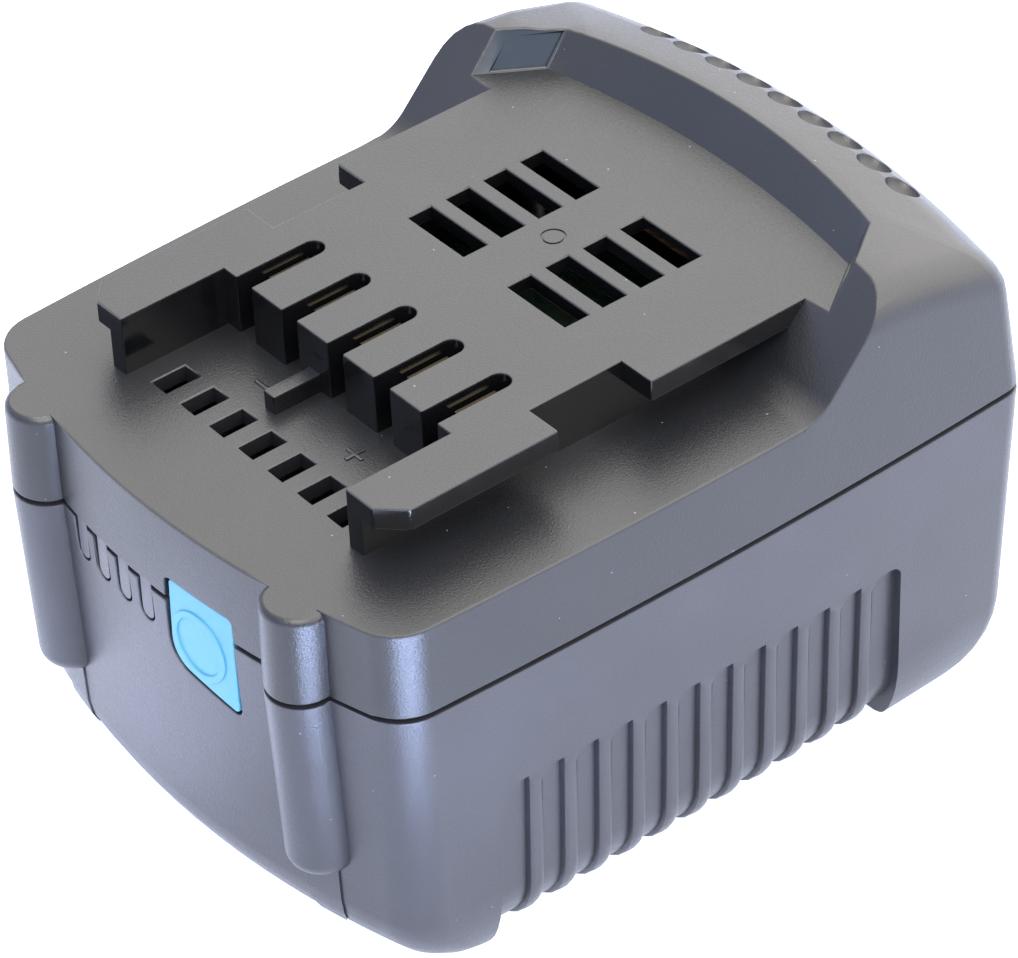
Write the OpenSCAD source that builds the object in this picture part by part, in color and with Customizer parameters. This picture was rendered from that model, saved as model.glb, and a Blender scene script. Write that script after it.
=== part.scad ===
// Slide-in battery pack for a cordless tool: two-part moulded case, ten round
// cells in two layers, circuit board, spring contacts and a charge gauge with
// a test button. Millimetres. X is the width, the contact bay faces -Y, Z is up.
// The origin is on the base, at the middle of the pack's length and width.

/* [Cells] */
// Diameter of one cell
cell_d = 18.2; // [17.4:0.1:19]
// Length of one cell
cell_l = 65; // [60:0.5:71]
// Gap between neighbouring cells of a layer
cell_gap = 0.1; // [0.1:0.05:0.6]
// Gap between the two layers of cells
layer_gap = 1.2; // [0.9:0.1:3]
// Room left around a cell where it lies in a seat
cell_fit = 0.15; // [0.05:0.05:0.3]
// Thickness of the metal links that join the cells
link_t = 0.3; // [0.2:0.05:0.5]
// Thickness of the insulating sheets over the links
sheet_t = 0.3; // [0.2:0.05:0.5]
// Gap between an insulating sheet and the case
sheet_gap = 0.35; // [0.2:0.05:0.6]
// Margin of an insulating sheet around the links
sheet_margin = 0.5; // [0.2:0.1:1]
// Half the width of a link over one cell
link_half = 5; // [4:0.1:6]
// Width of the tab from a link to the main board
tab_w = 4; // [3:0.1:5]
// Width of the slit between the weld points of a link
slit_w = 0.8; // [0.5:0.1:1.2]
// Length of that slit
slit_l = 5; // [3:0.1:6]
// Radius of the raised cap of a cell
cap_r = 4.2; // [3.5:0.1:5]
// Height of the raised cap of a cell
cap_h = 0.8; // [0.5:0.1:1.2]
// Distance of the crimp groove from the cap's end of a cell
crimp_back = 3.2; // [2.6:0.1:4]
// Depth of the crimp groove of a cell
crimp_d = 0.7; // [0.4:0.1:1]
// Bevel at the ends of a cell
cell_edge = 0.5; // [0.3:0.1:0.8]
// How far the spacer reaches up and down between the cells
spacer_reach = 3.2; // [2:0.1:4]
// Setback of the spacer from the cell ends
spacer_set = 4; // [2:0.1:6]
// Setback of the spacer from the ends of the rows
spacer_end = 2; // [1:0.1:3]
// How far the carrier reaches down between the upper cells
carrier_reach = 3; // [2:0.1:4]
// Thickness of the carrier over the upper cells
carrier_t = 1.2; // [0.8:0.1:1.6]
// Setback of the carrier from the cell ends
carrier_set = 2; // [1:0.1:4]

/* [Case] */
// Wall thickness of both halves of the case
wall = 2.2; // [1.8:0.1:2.6]
// How far the widest point lies behind the middle of the case
wide_shift = 3.4; // [2:0.1:5]
// How much the front corners tighten along the base rounding
front_corner_draw = 2.2; // [1:0.1:3]
// How much the rear corners tighten along the base rounding
rear_corner_draw = 0.5; // [0.2:0.1:1]
// Width of the seat ribs under the cells
seat_w = 4; // [3:0.1:6]
// How far the seat ribs rise between the lower cells
seat_rise = 3.5; // [2:0.1:4]
// Thickness of the case floor
floor_t = 2.2; // [1.8:0.1:3]
// Height of the seats under the lower cells
seat_h = 0.9; // [0.6:0.1:2]
// Distance from the first cell to the outside of the front wall
front_room = 7.5; // [7.3:0.1:10]
// Distance from the last cell to the outside of the rear wall
rear_room = 6.8; // [6.6:0.1:9]
// Distance from a cell end to the outside of the side wall
side_room = 8; // [7.8:0.1:9]
// Height of the joint between the case halves above the upper cells
split_room = 2.8; // [2.4:0.1:4]
// Radius of the bowed front wall
front_r = 128; // [115:1:160]
// Radius of the bowed side walls
side_r = 940; // [900:10:1400]
// Radius of the bowed rear wall
rear_r = 218; // [200:1:300]
// Radius of the upright front corners
front_corner_r = 6.4; // [4:0.1:7]
// Radius of the upright rear corners
rear_corner_r = 3.6; // [3:0.1:5]
// Inward lean of the lower front wall, per millimetre of height
front_lean = 0.034; // [0.02:0.002:0.036]
// Inward lean of the lower side walls, per millimetre of height
side_lean = 0.03; // [0.02:0.002:0.035]
// Inward lean of the lower rear wall, per millimetre of height
rear_lean = 0.058; // [0.02:0.002:0.06]
// Height of the rounding along the base
base_round_h = 10.8; // [8:0.1:12]
// Depth of the base rounding at the front
base_round_front = 14; // [8:0.1:14.6]
// Depth of the base rounding at the sides
base_round_side = 4.2; // [3:0.1:5]
// Depth of the base rounding at the rear
base_round_rear = 9; // [5:0.1:9.4]
// Height of the shadow groove along the joint of the case
joint_groove_h = 0.65; // [0.3:0.05:0.8]
// Depth of the shadow groove along the joint of the case
joint_groove_d = 0.8; // [0.5:0.05:1]

/* [Snap hooks between the case halves] */
// Width of a hook
hook_w = 8; // [6:0.5:10]
// Thickness of a hook's arm
hook_t = 1.2; // [1:0.1:1.3]
// Gap between a hook's arm and the wall
hook_room = 0.7; // [0.6:0.05:0.8]
// How far a hook's nose reaches into the wall
hook_bite = 0.2; // [0.1:0.05:0.4]
// Reach of a hook below the joint
hook_down = 4.1; // [3.6:0.1:5]
// Reach of a hook above the joint
hook_up = 4; // [3:0.1:5]
// Height of a hook's nose
hook_nose = 1.7; // [1.4:0.1:2]
// Room around a hook's nose in its pocket
hook_fit = 0.4; // [0.3:0.05:0.5]

/* [Grip fins on the sides] */
// Spacing of the fins
fin_pitch = 5.15; // [4.8:0.05:5.2]
// Thickness of one fin
fin_w = 2.25; // [1.8:0.05:2.4]
// Number of fins on each side
fin_count = 11; // [7:1:11]
// Distance from the front wall to the first fin
fin_start = 23.75; // [22:0.05:26]
// Width of the groove before the first fin
fin_lead = 4.6; // [4.5:0.1:5.5]
// Width of the groove behind the last fin
fin_tail = 4.2; // [3.7:0.1:5.5]
// Height of the top of the grooves
fin_top = 26.6; // [20:0.1:28]
// Depth of the grooves below the fin crests
fin_depth = 0.9; // [0.6:0.05:1.2]
// Setback of the fin crests at their foot
fin_setback = 0.2; // [0.15:0.05:0.5]
// Setback of the fin crests at their top
fin_edge = 0.15; // [0.1:0.05:0.3]
// Radius of the front upper corner of the finned field
fin_corner = 4; // [2:0.1:4]
// Radius of the front upper corners of the other grooves
fin_turn = 1; // [0.5:0.1:1.2]
// Radius of the rear upper corners of the grooves
fin_tip = 0.4; // [0.2:0.1:0.4]
// Radius of the rear upper corner of the finned field
fin_end = 1.8; // [0.5:0.1:2.4]
// Rounding of the fins at the base
fin_round = 8.8; // [7:0.1:9]

/* [Front columns] */
// Distance of each front column from the middle
column_x = 24.9; // [22:0.1:26]
// Radius of the front columns
column_r = 4.5; // [4:0.1:5]
// How far the columns stand out beyond the middle of the front wall
column_out = 1.7; // [0.8:0.05:2]
// Height of the lower end of the columns
column_foot = 16; // [13:0.1:20]
// Rounding of the lower end of the columns
column_foot_r = 2.4; // [1:0.1:3]
// Rounding of the upper end of the columns
column_top_r = 1.1; // [0.8:0.1:2.4]
// Inward lean of the columns below the joint, per millimetre of height
column_lean = 0.04; // [0.01:0.002:0.06]
// Inward lean of the columns above the joint, per millimetre of height
column_draft = 0.02; // [0:0.002:0.04]
// How far the ridge below each column stands out
ridge_out = 0.25; // [0.1:0.05:0.8]
// How much narrower the ridge is than the column, on each side
ridge_in = 1.6; // [0.5:0.1:2]

/* [Cover] */
// Height of the cover wall from the joint to the shoulder
cover_h = 12.55; // [11:0.05:15]
// Height of the rail plane above the shoulder
rail_h = 8.25; // [7.5:0.05:10]
// Thickness of the rail plane
deck_t = 2.2; // [1.6:0.1:2.6]
// Distance from the front wall to the front of the rails
rail_start = 13.1; // [11:0.1:15]
// Half the distance between the inner faces of the rails
rail_in = 21.6; // [21.4:0.1:22]
// Half the width over the rail webs
rail_web = 24.3; // [24:0.1:25]
// Half the width over the rail lips
rail_lip = 29.6; // [28:0.1:31]
// Thickness of the rail lips
lip_t = 3.1; // [2:0.1:3.4]
// Length of the front rail lips
lip_front_l = 24.7; // [20:0.1:26]
// Length of the gap between the front and rear lips
lip_notch_l = 13.8; // [10:0.1:16]
// Size of the bevel at the front corners of the lips
lip_bevel = 3.1; // [1:0.1:4]
// Depth of the contact bay from the rail fronts to the teeth
bay_l = 15.2; // [13:0.1:17]
// Spacing of the contact slots
slot_pitch = 8.86; // [8.6:0.02:9]
// Width of a contact slot
slot_w = 2.87; // [2.6:0.01:3.2]
// Length of a contact slot to the centre of its round end
slot_l = 10.4; // [10:0.1:12]
// Distance from the rail fronts to the row of holes in the bay floor
hole_setback = 3.9; // [3.2:0.1:5]
// Spacing of the holes in the bay floor
hole_pitch = 5.67; // [5.4:0.01:6]
// Width of a hole in the bay floor
hole_w = 2.9; // [2:0.1:3.4]
// Length of a hole in the bay floor
hole_l = 4.8; // [3:0.1:5.4]
// Distance from the teeth to the first row of vents
vent_start = 22.7; // [20:0.1:25]
// Spacing of the vent rows
vent_pitch = 5.8; // [5:0.05:6]
// Width of a vent
vent_w = 3.54; // [2.4:0.02:4]
// Half the bar left between the two columns of vents
vent_in = 4.12; // [3:0.02:5]
// Length of a vent
vent_l = 10.7; // [8:0.1:12]
// Width of the coding bar in the contact bay
key_w = 2.15; // [1.6:0.05:3]
// Length of the coding bar
key_l = 6.8; // [4:0.1:8]
// Height of the coding bar
key_h = 2.6; // [1.5:0.1:4]
// Length of the raised polarity marks in the contact bay
mark_l = 3; // [2:0.1:4]
// Width of the strokes of those marks
mark_w = 0.7; // [0.5:0.05:1]
// Height of those marks
mark_h = 0.25; // [0.15:0.05:0.4]
// Diameter of the gate mark between the vents
gate_d = 3.2; // [2.4:0.1:4]
// Width of the gate mark's line
gate_line = 0.3; // [0.2:0.05:0.5]
// Depth of the gate mark
gate_depth = 0.15; // [0.1:0.05:0.3]
// Thickness of the walls beside the slots
slot_wall = 1.3; // [1:0.1:1.6]

/* [Hump behind the rails] */
// Rise of the hump crown above the rail plane, before it is cut by the pocket
hump_rise = 7.3; // [6:0.05:8]
// Distance from the rear wall to the crown of the hump
hump_crown = 32.2; // [30:0.1:34]
// Radius of the hump along its length
hump_long_r = 70; // [60:1:90]
// Radius of the hump across its width
hump_cross_r = 290; // [250:5:400]
// Height of the rounding around the hump
hump_round_h = 5; // [3.5:0.1:6]
// Depth of the rounding at the hump sides
hump_round_side = 4.3; // [3:0.1:5]
// Depth of the rounding at the hump rear
hump_round_rear = 6.4; // [4:0.1:7]
// Inward lean of the rear wall of the cover, per millimetre of height
hump_lean = 0.1; // [0.05:0.01:0.12]
// Distance from the rear wall to where the side ramps reach the rail plane
ramp_back = 30.1; // [28:0.1:32]
// Slope of the side ramps in degrees
ramp_slope = 47; // [40:1:60]
// Radius of the hollow at the foot of the side ramps
ramp_foot_r = 6.4; // [4:0.1:8]
// Distance from the rear wall to the pocket wall at the middle
pocket_back = 19; // [17:0.1:21]
// Radius of the pocket wall in plan
pocket_r = 131; // [110:1:160]
// Half the width of the bowed part of the pocket wall
pocket_w = 27.9; // [26:0.1:29]
// Backward lean of the pocket wall, per millimetre of height
pocket_lean = 0.78; // [0.5:0.02:0.9]
// Slope of the slanted ends of the pocket wall in plan
pocket_end_slope = 1.45; // [1.2:0.05:1.7]
// Depth of the smooth patches in the slanted ends of the pocket wall
patch_d = 0.4; // [0.2:0.05:0.8]
// Length of a smooth patch
patch_l = 6.7; // [4:0.1:7]
// Height of a smooth patch
patch_h = 4; // [2:0.1:4.2]
// Number of finger scoops along the rear edge
scoops = 9; // [5:2:11]
// Spacing of the finger scoops
scoop_pitch = 5.67; // [5.2:0.01:6]
// Radius of a scoop's ball shape
scoop_r = 3.6; // [3:0.1:5]
// Depth of a scoop
scoop_d = 0.9; // [0.4:0.05:1.1]
// Distance of the scoops from the rear wall
scoop_back = 7.2; // [6.5:0.1:8]
// Angle at which the scoops lean back, in degrees
scoop_tilt = 33.4; // [25:0.2:40]

/* [Charge gauge and test button] */
// Distance of the left edge of the button from the middle
button_x = 2.2; // [2:0.05:3.2]
// Width of the button
button_w = 11.8; // [10:0.1:12]
// Height of the button above the joint
button_up = 3.2; // [2:0.1:5]
// Height of the button below the joint at its lower tip
button_down = 11; // [9:0.1:12]
// Rise of the button's lower edge from its tip to its rounded corner
button_rise = 2.2; // [1:0.1:4]
// Radius of the button's large lower corner
button_round = 3.6; // [2:0.1:5]
// Radius of the button's other corners
button_corner_r = 0.7; // [0.4:0.05:1]
// How far the button's left edge slants
button_slant = 0.5; // [0.2:0.05:1]
// How far the face of the button lies behind the wall
button_sunk = 0.35; // [0.1:0.05:0.6]
// Gap around the button
button_gap = 0.35; // [0.25:0.05:0.5]
// Width of the button's retaining flange
flange_w = 0.9; // [0.6:0.1:1.2]
// Thickness of the button's retaining flange
flange_t = 0.9; // [0.7:0.1:1.2]
// Radius of the ring raised on the button
button_ring_r = 4.8; // [3:0.1:5]
// Width of the ring on the button
ring_w = 1; // [0.4:0.05:1.2]
// Height of the ring on the button
ring_h = 0.25; // [0.1:0.05:0.3]
// Distance of the ring's centre from the button's, towards the windows
ring_aside = 0.5; // [0:0.1:0.8]
// Distance of the ring's centre below the button's
ring_drop = 0.4; // [0:0.1:0.8]
// Depth of the button's flange seat behind the face of the wall
button_seat = 1.9; // [1.6:0.1:2.2]
// Gap between the button's flange and its seat
flange_gap = 0.25; // [0.2:0.05:0.4]
// Radius of the stem behind the button
stem_r = 2; // [1.5:0.1:2.5]
// Length of the stem behind the button
stem_l = 0.4; // [0.3:0.05:0.6]
// Travel of the button
button_travel = 0.6; // [0.3:0.05:0.8]
// Spacing of the gauge windows
window_pitch = 4.73; // [4.4:0.01:5]
// Width of a gauge window
window_w = 2.3; // [1.6:0.1:2.8]
// Height of a gauge window
window_h = 5.7; // [4:0.1:6]
// Distance of the window next to the button from the middle
window_x = 2.1; // [1.9:0.05:2.4]
// Gap around a window
window_gap = 0.25; // [0.15:0.05:0.4]
// How far the windows lie behind the face of the wall
window_sunk = 0.3; // [0.1:0.05:0.5]
// Depth of a gauge light
led_d = 0.8; // [0.5:0.1:1]
// Width of a gauge light
led_w = 1.6; // [1.2:0.1:2]
// Distance of the gauge lights below the joint
led_drop = 1.8; // [1.5:0.1:2.2]
// Gap between the gauge lights and the light guide
guide_gap = 0.2; // [0.1:0.05:0.4]
// Depth of the bar that joins the tongues of the light guide
guide_bar_d = 1.4; // [1:0.1:1.6]
// Height of that bar
guide_bar_h = 2.6; // [2:0.1:3]
// Distance of that bar below the joint
guide_bar_drop = 0.4; // [0.3:0.05:0.8]

/* [Boards and contacts] */
// Thickness of the main circuit board
board_t = 1.6; // [1:0.1:2]
// Height of the main circuit board above the joint
board_up = 1.1; // [0.9:0.1:2]
// How far the main board reaches past the cell ends
board_side = 1.5; // [1:0.1:2]
// Distance from the pocket wall to the main board's rear edge
board_back = 2; // [1:0.1:4]
// Diameter of the board screws
screw_d = 2.2; // [2:0.1:2.4]
// Reach of the board screws below the board
screw_l = 4.5; // [3.5:0.1:4.6]
// Diameter of the board screws' heads
head_d = 4.4; // [4:0.1:5]
// Height of the board screws' heads
head_h = 1.5; // [1.3:0.1:2]
// Width of the cross cut into a screw head
cross_w = 0.5; // [0.4:0.05:0.6]
// Depth of the cross cut into a screw head
cross_d = 0.7; // [0.5:0.05:0.9]
// Clearance of a screw in the board
screw_clear = 0.25; // [0.1:0.05:0.3]
// Room around a screw in its post
screw_fit = 0.05; // [0.02:0.01:0.1]
// Diameter of the screw posts
post_d = 5.6; // [5:0.1:6.4]
// Distance of the screw posts from the cell ends
post_edge = 5.5; // [4.5:0.1:7]
// Thickness of the gauge board
gauge_t = 1; // [0.8:0.1:1.2]
// Reach of the gauge board below the joint
gauge_down = 7; // [6:0.1:8]
// Reach of the gauge board above the main board's underside
gauge_up = 4; // [3:0.1:5]
// How far the gauge board reaches past the last window
gauge_left = 3; // [2:0.1:4]
// How far the gauge board reaches past the button
gauge_right = 1; // [0.5:0.1:2]
// Depth of the test switch body
switch_d = 1.3; // [1.1:0.1:1.6]
// Width of the test switch body
switch_w = 4.4; // [3.4:0.1:5]
// Radius of the switch plunger
plunger_r = 1; // [0.7:0.05:1.2]
// Running clearance around the switch plunger
plunger_fit = 0.1; // [0.05:0.05:0.2]
// Gap between the button's stem and the plunger
plunger_gap = 0.1; // [0.05:0.05:0.2]
// Room left behind the plunger when it is pressed
plunger_room = 0.3; // [0.2:0.05:0.5]
// Thickness of one contact leaf
leaf_t = 0.5; // [0.3:0.05:0.6]
// Gap between the two leaves of a contact
leaf_gap = 0.9; // [0.5:0.05:1]
// Width of a contact along the slot
contact_l = 6; // [4:0.1:6.6]
// Height of the contact base block
contact_block_h = 5.2; // [3:0.1:6]
// Margin of the contact block around the contacts
block_rim = 1.4; // [1:0.1:2]
// Gap between the contact block and the rails, on each side
block_side = 0.6; // [0.3:0.1:1]
// Room around a contact in the contact block
contact_fit = 0.1; // [0.05:0.05:0.2]
// Depth of the contact tips below the rail plane
contact_drop = 2; // [1.5:0.1:3]
// Height of the joined foot of a contact
contact_foot = 4; // [3:0.1:5]
// How far the leaves of a contact are pinched
contact_pinch = 0.25; // [0.1:0.05:0.3]
// Distance of the pinch below the contact tips
pinch_drop = 3; // [2:0.1:4]

/* [Small parts on the main board] */
// Width of a power transistor
transistor_w = 6; // [5:0.1:7]
// Length of a power transistor
transistor_l = 5; // [4:0.1:6]
// Height of a power transistor
transistor_h = 1.2; // [0.8:0.1:2]
// Spacing of the power transistors
transistor_pitch = 8; // [7.4:0.1:9]
// Distance of the middle transistor from the middle of the board
transistor_x = 12; // [11:0.1:13]
// Distance of the transistors behind the contact slots
transistor_back = 10; // [8:0.1:12]
// Size of the control chip
chip_w = 7; // [5:0.1:8]
// Height of the control chip
chip_h = 1; // [0.8:0.1:2]
// Distance of the control chip from the middle of the board
chip_x = 10; // [8:0.1:12]
// Distance of the control chip and the shunt behind the contact slots
chip_back = 14; // [12:0.1:15]
// Width of the current shunt
shunt_w = 3.2; // [2.5:0.1:4]
// Length of the current shunt
shunt_l = 6.4; // [5:0.1:8]
// Height of the current shunt
shunt_h = 0.8; // [0.5:0.1:1.2]
// Distance of the current shunt from the side of the board
shunt_edge = 10; // [8:0.1:12]
// Number of capacitors
capacitor_count = 4; // [2:1:5]
// Width of a capacitor
capacitor_w = 1.6; // [1.2:0.1:2]
// Length of a capacitor
capacitor_l = 3.2; // [2.4:0.1:4]
// Height of a capacitor
capacitor_h = 1.2; // [0.8:0.1:1.6]
// Spacing of the capacitors
capacitor_pitch = 3; // [2.4:0.1:4]
// Distance of the capacitors behind the contact slots
capacitor_back = 22; // [20:0.1:24]
// Width of the temperature sensor
sensor_w = 4; // [3:0.1:5]
// Length of the temperature sensor
sensor_l = 3.2; // [2.4:0.1:4]
// Distance of the temperature sensor from the middle of the board
sensor_x = 10; // [8:0.1:14]

/* [Hidden] */
$fn = 48;
slots = 5;
windows = 4;
fin_arc = 8;

// Cell layout
cell_r = cell_d / 2;
cell_pitch = cell_d + cell_gap;
row_l = 5 * cell_pitch - cell_gap;
pack_l = row_l + front_room + rear_room + column_out;
y_front = -pack_l / 2 + column_out;
y_rear = pack_l / 2;
row_front = y_front + front_room;
row_rear = row_front + row_l;
half_w = cell_l / 2 + side_room;
y_wide = (y_front + y_rear) / 2 + wide_shift;

// Front and rear end of the finned field
fin_y1 = y_front + fin_start - fin_lead;
fin_y2 = y_front + fin_start + (fin_count - 1) * fin_pitch + fin_w + fin_tail;
z_low = floor_t + seat_h + cell_r;
z_high = z_low + cell_d + layer_gap;
z_split = z_high + cell_r + split_room;
z_shoulder = z_split + cover_h;
z_rail = z_shoulder + rail_h;
sheet_out = cell_l / 2 + link_t + sheet_t;
pad_in = sheet_out + sheet_gap;

// Rails, slots and hump
y_rail = y_front + rail_start;
y_notch = y_rail + lip_front_l;
y_lip = y_notch + lip_notch_l;
y_tooth = y_rail + bay_l;
y_slot = y_tooth + slot_l;
y_vent = y_tooth + vent_start;
y_ramp = y_rear - ramp_back;
y_crown = y_rear - hump_crown;
y_pocket = y_rear - pocket_back;
z_crown = z_rail + hump_rise;
deck_room = rail_web - wall;

// Front column
column_y = y_front - column_out + column_r;

// Button, switch and gauge board, front to back
button_mid_x = button_x + button_w / 2;
z_button = z_split + (button_up - button_down) / 2;
button_x2 = button_x + button_w + flange_w;
seat_y = y_front + button_x2 * button_x2 / (2 * front_r) + button_seat;
flange_y = seat_y + flange_gap;
stem_y = flange_y + flange_t + stem_l;
plunger_y = stem_y + plunger_gap;
switch_y = plunger_y + button_travel + plunger_room;
gauge_y = switch_y + switch_d;
board_y = gauge_y + gauge_t;

// Main board
z_board = z_split + board_up;
z_parts = z_board + board_t;
board_w = cell_l / 2 + board_side;
board_rear = y_pocket - board_back;
contact_y = y_slot - contact_l;
contact_top = z_rail - contact_drop;
post_x = cell_l / 2 - post_edge;
screw_r = screw_d / 2;

// How far a cutting or joining shape runs past the face that it meets
over = 1;

// Node to draw, or all of them

// Point where two circles cross, on the chosen side of the line between them
function meet(c1, r1, c2, r2, side) =
  let (
    d = norm(c2 - c1),
    a = (d * d + r1 * r1 - r2 * r2) / (2 * d),
    h = sqrt(r1 * r1 - a * a),
    u = (c2 - c1) / d
  )
  c1 + a * u + side * h * [-u[1], u[0]];

function bearing(c, p) = atan2(p[1] - c[1], p[0] - c[0]);

// Points of an arc without its first point
function arc(c, r, a1, a2, n) = [
  for (i = [1:n]) c + r * [cos(a1 + (a2 - a1) * i / n), sin(a1 + (a2 - a1) * i / n)]
];

// Right half of the case outline, front to back, set in by df, ds and dr
function half_plan(df, ds, dr, rf, rr) =
  let (
    cf = [0, y_front + front_r],
    cs = [half_w - side_r, y_wide],
    cr = [0, y_rear - rear_r],
    k1 = meet(cf, front_r - df - rf, cs, side_r - ds - rf, 1),
    k2 = meet(cr, rear_r - dr - rr, cs, side_r - ds - rr, -1),
    a1 = bearing(cf, k1),
    a2 = bearing(cs, k1),
    a3 = bearing(cs, k2),
    a4 = bearing(cr, k2)
  )
  concat(
    [[0, y_front + df]],
    arc(cf, front_r - df, -90, a1, 8),
    arc(k1, rf, a1, a2, 7),
    arc(cs, side_r - ds, a2, a3, 9),
    arc(k2, rr, a3, a4, 6),
    arc(cr, rear_r - dr, a4, 90, 8)
  );

// Whole case outline
function plan(df, ds, dr, rf, rr) =
  let (h = half_plan(df, ds, dr, rf, rr), n = len(h))
  concat(h, [for (i = [n - 2:-1:1]) [-h[i][0], h[i][1]]]);

function inset_plan(d) =
  plan(d, d, d, max(front_corner_r - d, 1), max(rear_corner_r - d, 1));

// Solid through a stack of rings that all have the same number of points
module loft(rings) {
  n = len(rings[0]);
  m = len(rings);
  points = [for (r = rings) each r];
  sides = [
    for (j = [0:m - 2], i = [0:n - 1], k = [0:1])
      let (a = j * n + i, b = j * n + (i + 1) % n)
      k == 0 ? [a, b + n, b] : [a, a + n, b + n]
  ];
  bottom = [for (i = [0:n - 1]) i];
  top = [for (i = [n - 1:-1:0]) (m - 1) * n + i];
  polyhedron(points, concat(sides, [bottom, top]));
}

function at_z(ring, z) = [for (p = ring) [p[0], p[1], z]];

// Outline of the lower housing at height z, with t the angle down the rounding
function housing_ring(z, t, set, depth) =
  let (
    drop = z_split - z,
    c = 1 - cos(t),
    df = set + front_lean * drop + max(base_round_front - depth, 1) * c,
    ds = set + side_lean * drop + max(base_round_side - depth, 1) * c,
    dr = set + rear_lean * drop + max(base_round_rear - depth, 1) * c,
    rf = max(front_corner_r - set - front_corner_draw * c, 1),
    rr = max(rear_corner_r - set - rear_corner_draw * c, 1)
  )
  at_z(plan(df, ds, dr, rf, rr), z);

// Solid of the lower housing, set in by set, from its bottom to above the joint
module housing_solid(set, bottom, above) {
  steps = 7;
  lift = base_round_h - bottom;
  loft(concat(
    [for (i = [steps:-1:0]) let (t = 90 * i / steps)
      housing_ring(bottom + lift * (1 - sin(t)), t, set, max(set, 0))],
    [housing_ring(z_split + above, 0, set, max(set, 0))]
  ));
}

// Extrudes a shape drawn in Y and Z along X
module along_x(x1, x2) {
  translate([x1, 0, 0])
    rotate([90, 0, 90])
      linear_extrude(x2 - x1)
        children();
}

// Extrudes a shape drawn in X and Z along Y
module along_y(y1, y2) {
  translate([0, y2, 0])
    rotate([90, 0, 0])
      linear_extrude(y2 - y1)
        children();
}

module box(low, high) {
  translate(low)
    cube(high - low);
}

module both_sides() {
  children();
  mirror([1, 0, 0])
    children();
}

// Room for every cell and its end parts
module cell_rooms() {
  for (i = [0:4], z = [z_low, z_high])
    translate([-pad_in, row_front + cell_r + i * cell_pitch, z])
      rotate([0, 90, 0])
        cylinder(r = cell_r + cell_fit, h = 2 * pad_in);
}

// Front face of a fin, counted from the front
function fin_y(i) = y_front + fin_start + i * fin_pitch;

// Core that the side fins stand on, set in from the fin crests
module fin_core(set) {
  top = side_r - side_lean * (z_split - fin_top) - fin_edge - set;
  foot = side_r - side_lean * z_split - fin_setback - set;
  rise = (top - foot) / fin_top;
  bend = [foot - fin_round, fin_round];
  above = fin_top + 6 * over;
  core = side_r - 2 * fin_round;
  translate([half_w - side_r, y_wide, 0])
    rotate([0, 0, -fin_arc / 2])
      rotate_extrude(angle = fin_arc, $fn = 720)
        polygon(concat(
          [[core, above], [core, 0], [foot - fin_round, 0]],
          arc(bend, fin_round, -90, 0, 7),
          [[top + (above - fin_top) * rise, above]]
        ));
}

// Outline of a groove between two places, seen from the side, with its two upper corner radii
module groove_shape(y1, y2, r1, r2) {
  polygon(concat(
    [[y1, -over], [y2, -over]],
    arc([y2 - r2, fin_top - r2], r2, 0, 90, 6),
    arc([y1 + r1, fin_top - r1], r1, 90, 180, 6)
  ));
}

// Cut for the fins on the right side
module fin_cut() {
  inner = half_w - 12 * over;
  outer = half_w + over;
  difference() {
    along_x(inner, outer)
      groove_shape(fin_y1, fin_y2, fin_corner, fin_end);
    fin_core(0);
  }
  difference() {
    along_x(inner, outer) {
      groove_shape(fin_y1, fin_y(0), fin_corner, fin_tip);
      for (i = [1:fin_count - 1])
        groove_shape(fin_y(i - 1) + fin_w, fin_y(i), fin_turn, fin_tip);
      groove_shape(fin_y(fin_count - 1) + fin_w, fin_y2, fin_turn, fin_end);
    }
    fin_core(fin_depth);
  }
}

// Shadow groove along the joint of the case
module joint_groove() {
  difference() {
    translate([0, 0, z_split - joint_groove_h / 2])
      linear_extrude(joint_groove_h)
        square([3 * half_w, 2 * pack_l], center = true);
    translate([0, 0, z_split - joint_groove_h])
      linear_extrude(2 * joint_groove_h) {
        polygon(inset_plan(joint_groove_d));
        both_sides()
          translate([column_x, column_y])
            circle(column_r - joint_groove_d);
      }
  }
}

// Point list of a polygon with rounded corners, grown by a margin
function rounded(points, radii, grow, n) = [
  for (i = [0:len(points) - 1])
    let (
      m = len(points),
      p = points[i],
      e1 = (p - points[(i + m - 1) % m]) / norm(p - points[(i + m - 1) % m]),
      e2 = (points[(i + 1) % m] - p) / norm(points[(i + 1) % m] - p),
      n1 = [e1[1], -e1[0]],
      n2 = [e2[1], -e2[0]],
      q = p + grow * (n1 + n2) / (1 + n1 * n2),
      r = radii[i] + grow,
      turn = atan2(e1[0] * e2[1] - e1[1] * e2[0], e1 * e2),
      start = q - e1 * r * tan(turn / 2),
      c = start - n1 * r,
      a = atan2(n1[1], n1[0])
    )
    for (k = [0:n]) c + r * [cos(a + turn * k / n), sin(a + turn * k / n)]
];

// Outline of the test button in X and Z
module button_shape(grow) {
  x1 = button_x;
  x2 = button_x + button_w;
  z1 = z_split - button_down;
  z2 = z_split + button_up;
  polygon(rounded(
    [[x1, z1 + button_rise], [x2, z1], [x2, z2], [x1 + button_slant, z2]],
    [button_round, button_corner_r, button_corner_r, button_corner_r], grow, 6
  ));
}

function window_mid(i) = -window_x - i * window_pitch;

// Outline of one gauge window, open at the joint
module window_shape(i, grow) {
  x = window_mid(i);
  r = window_w / 2;
  z = z_split - window_h + r;
  translate([x, z])
    circle(r + grow);
  translate([x - r - grow, z])
    square([window_w + 2 * grow, window_h - r + joint_groove_h / 2 + grow]);
}

// Openings in the front of the case
module front_openings() {
  along_y(y_front - 2 * column_out, seat_y + over)
    button_shape(button_gap);
  along_y(seat_y, board_y)
    button_shape(flange_w + button_gap);
}

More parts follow.
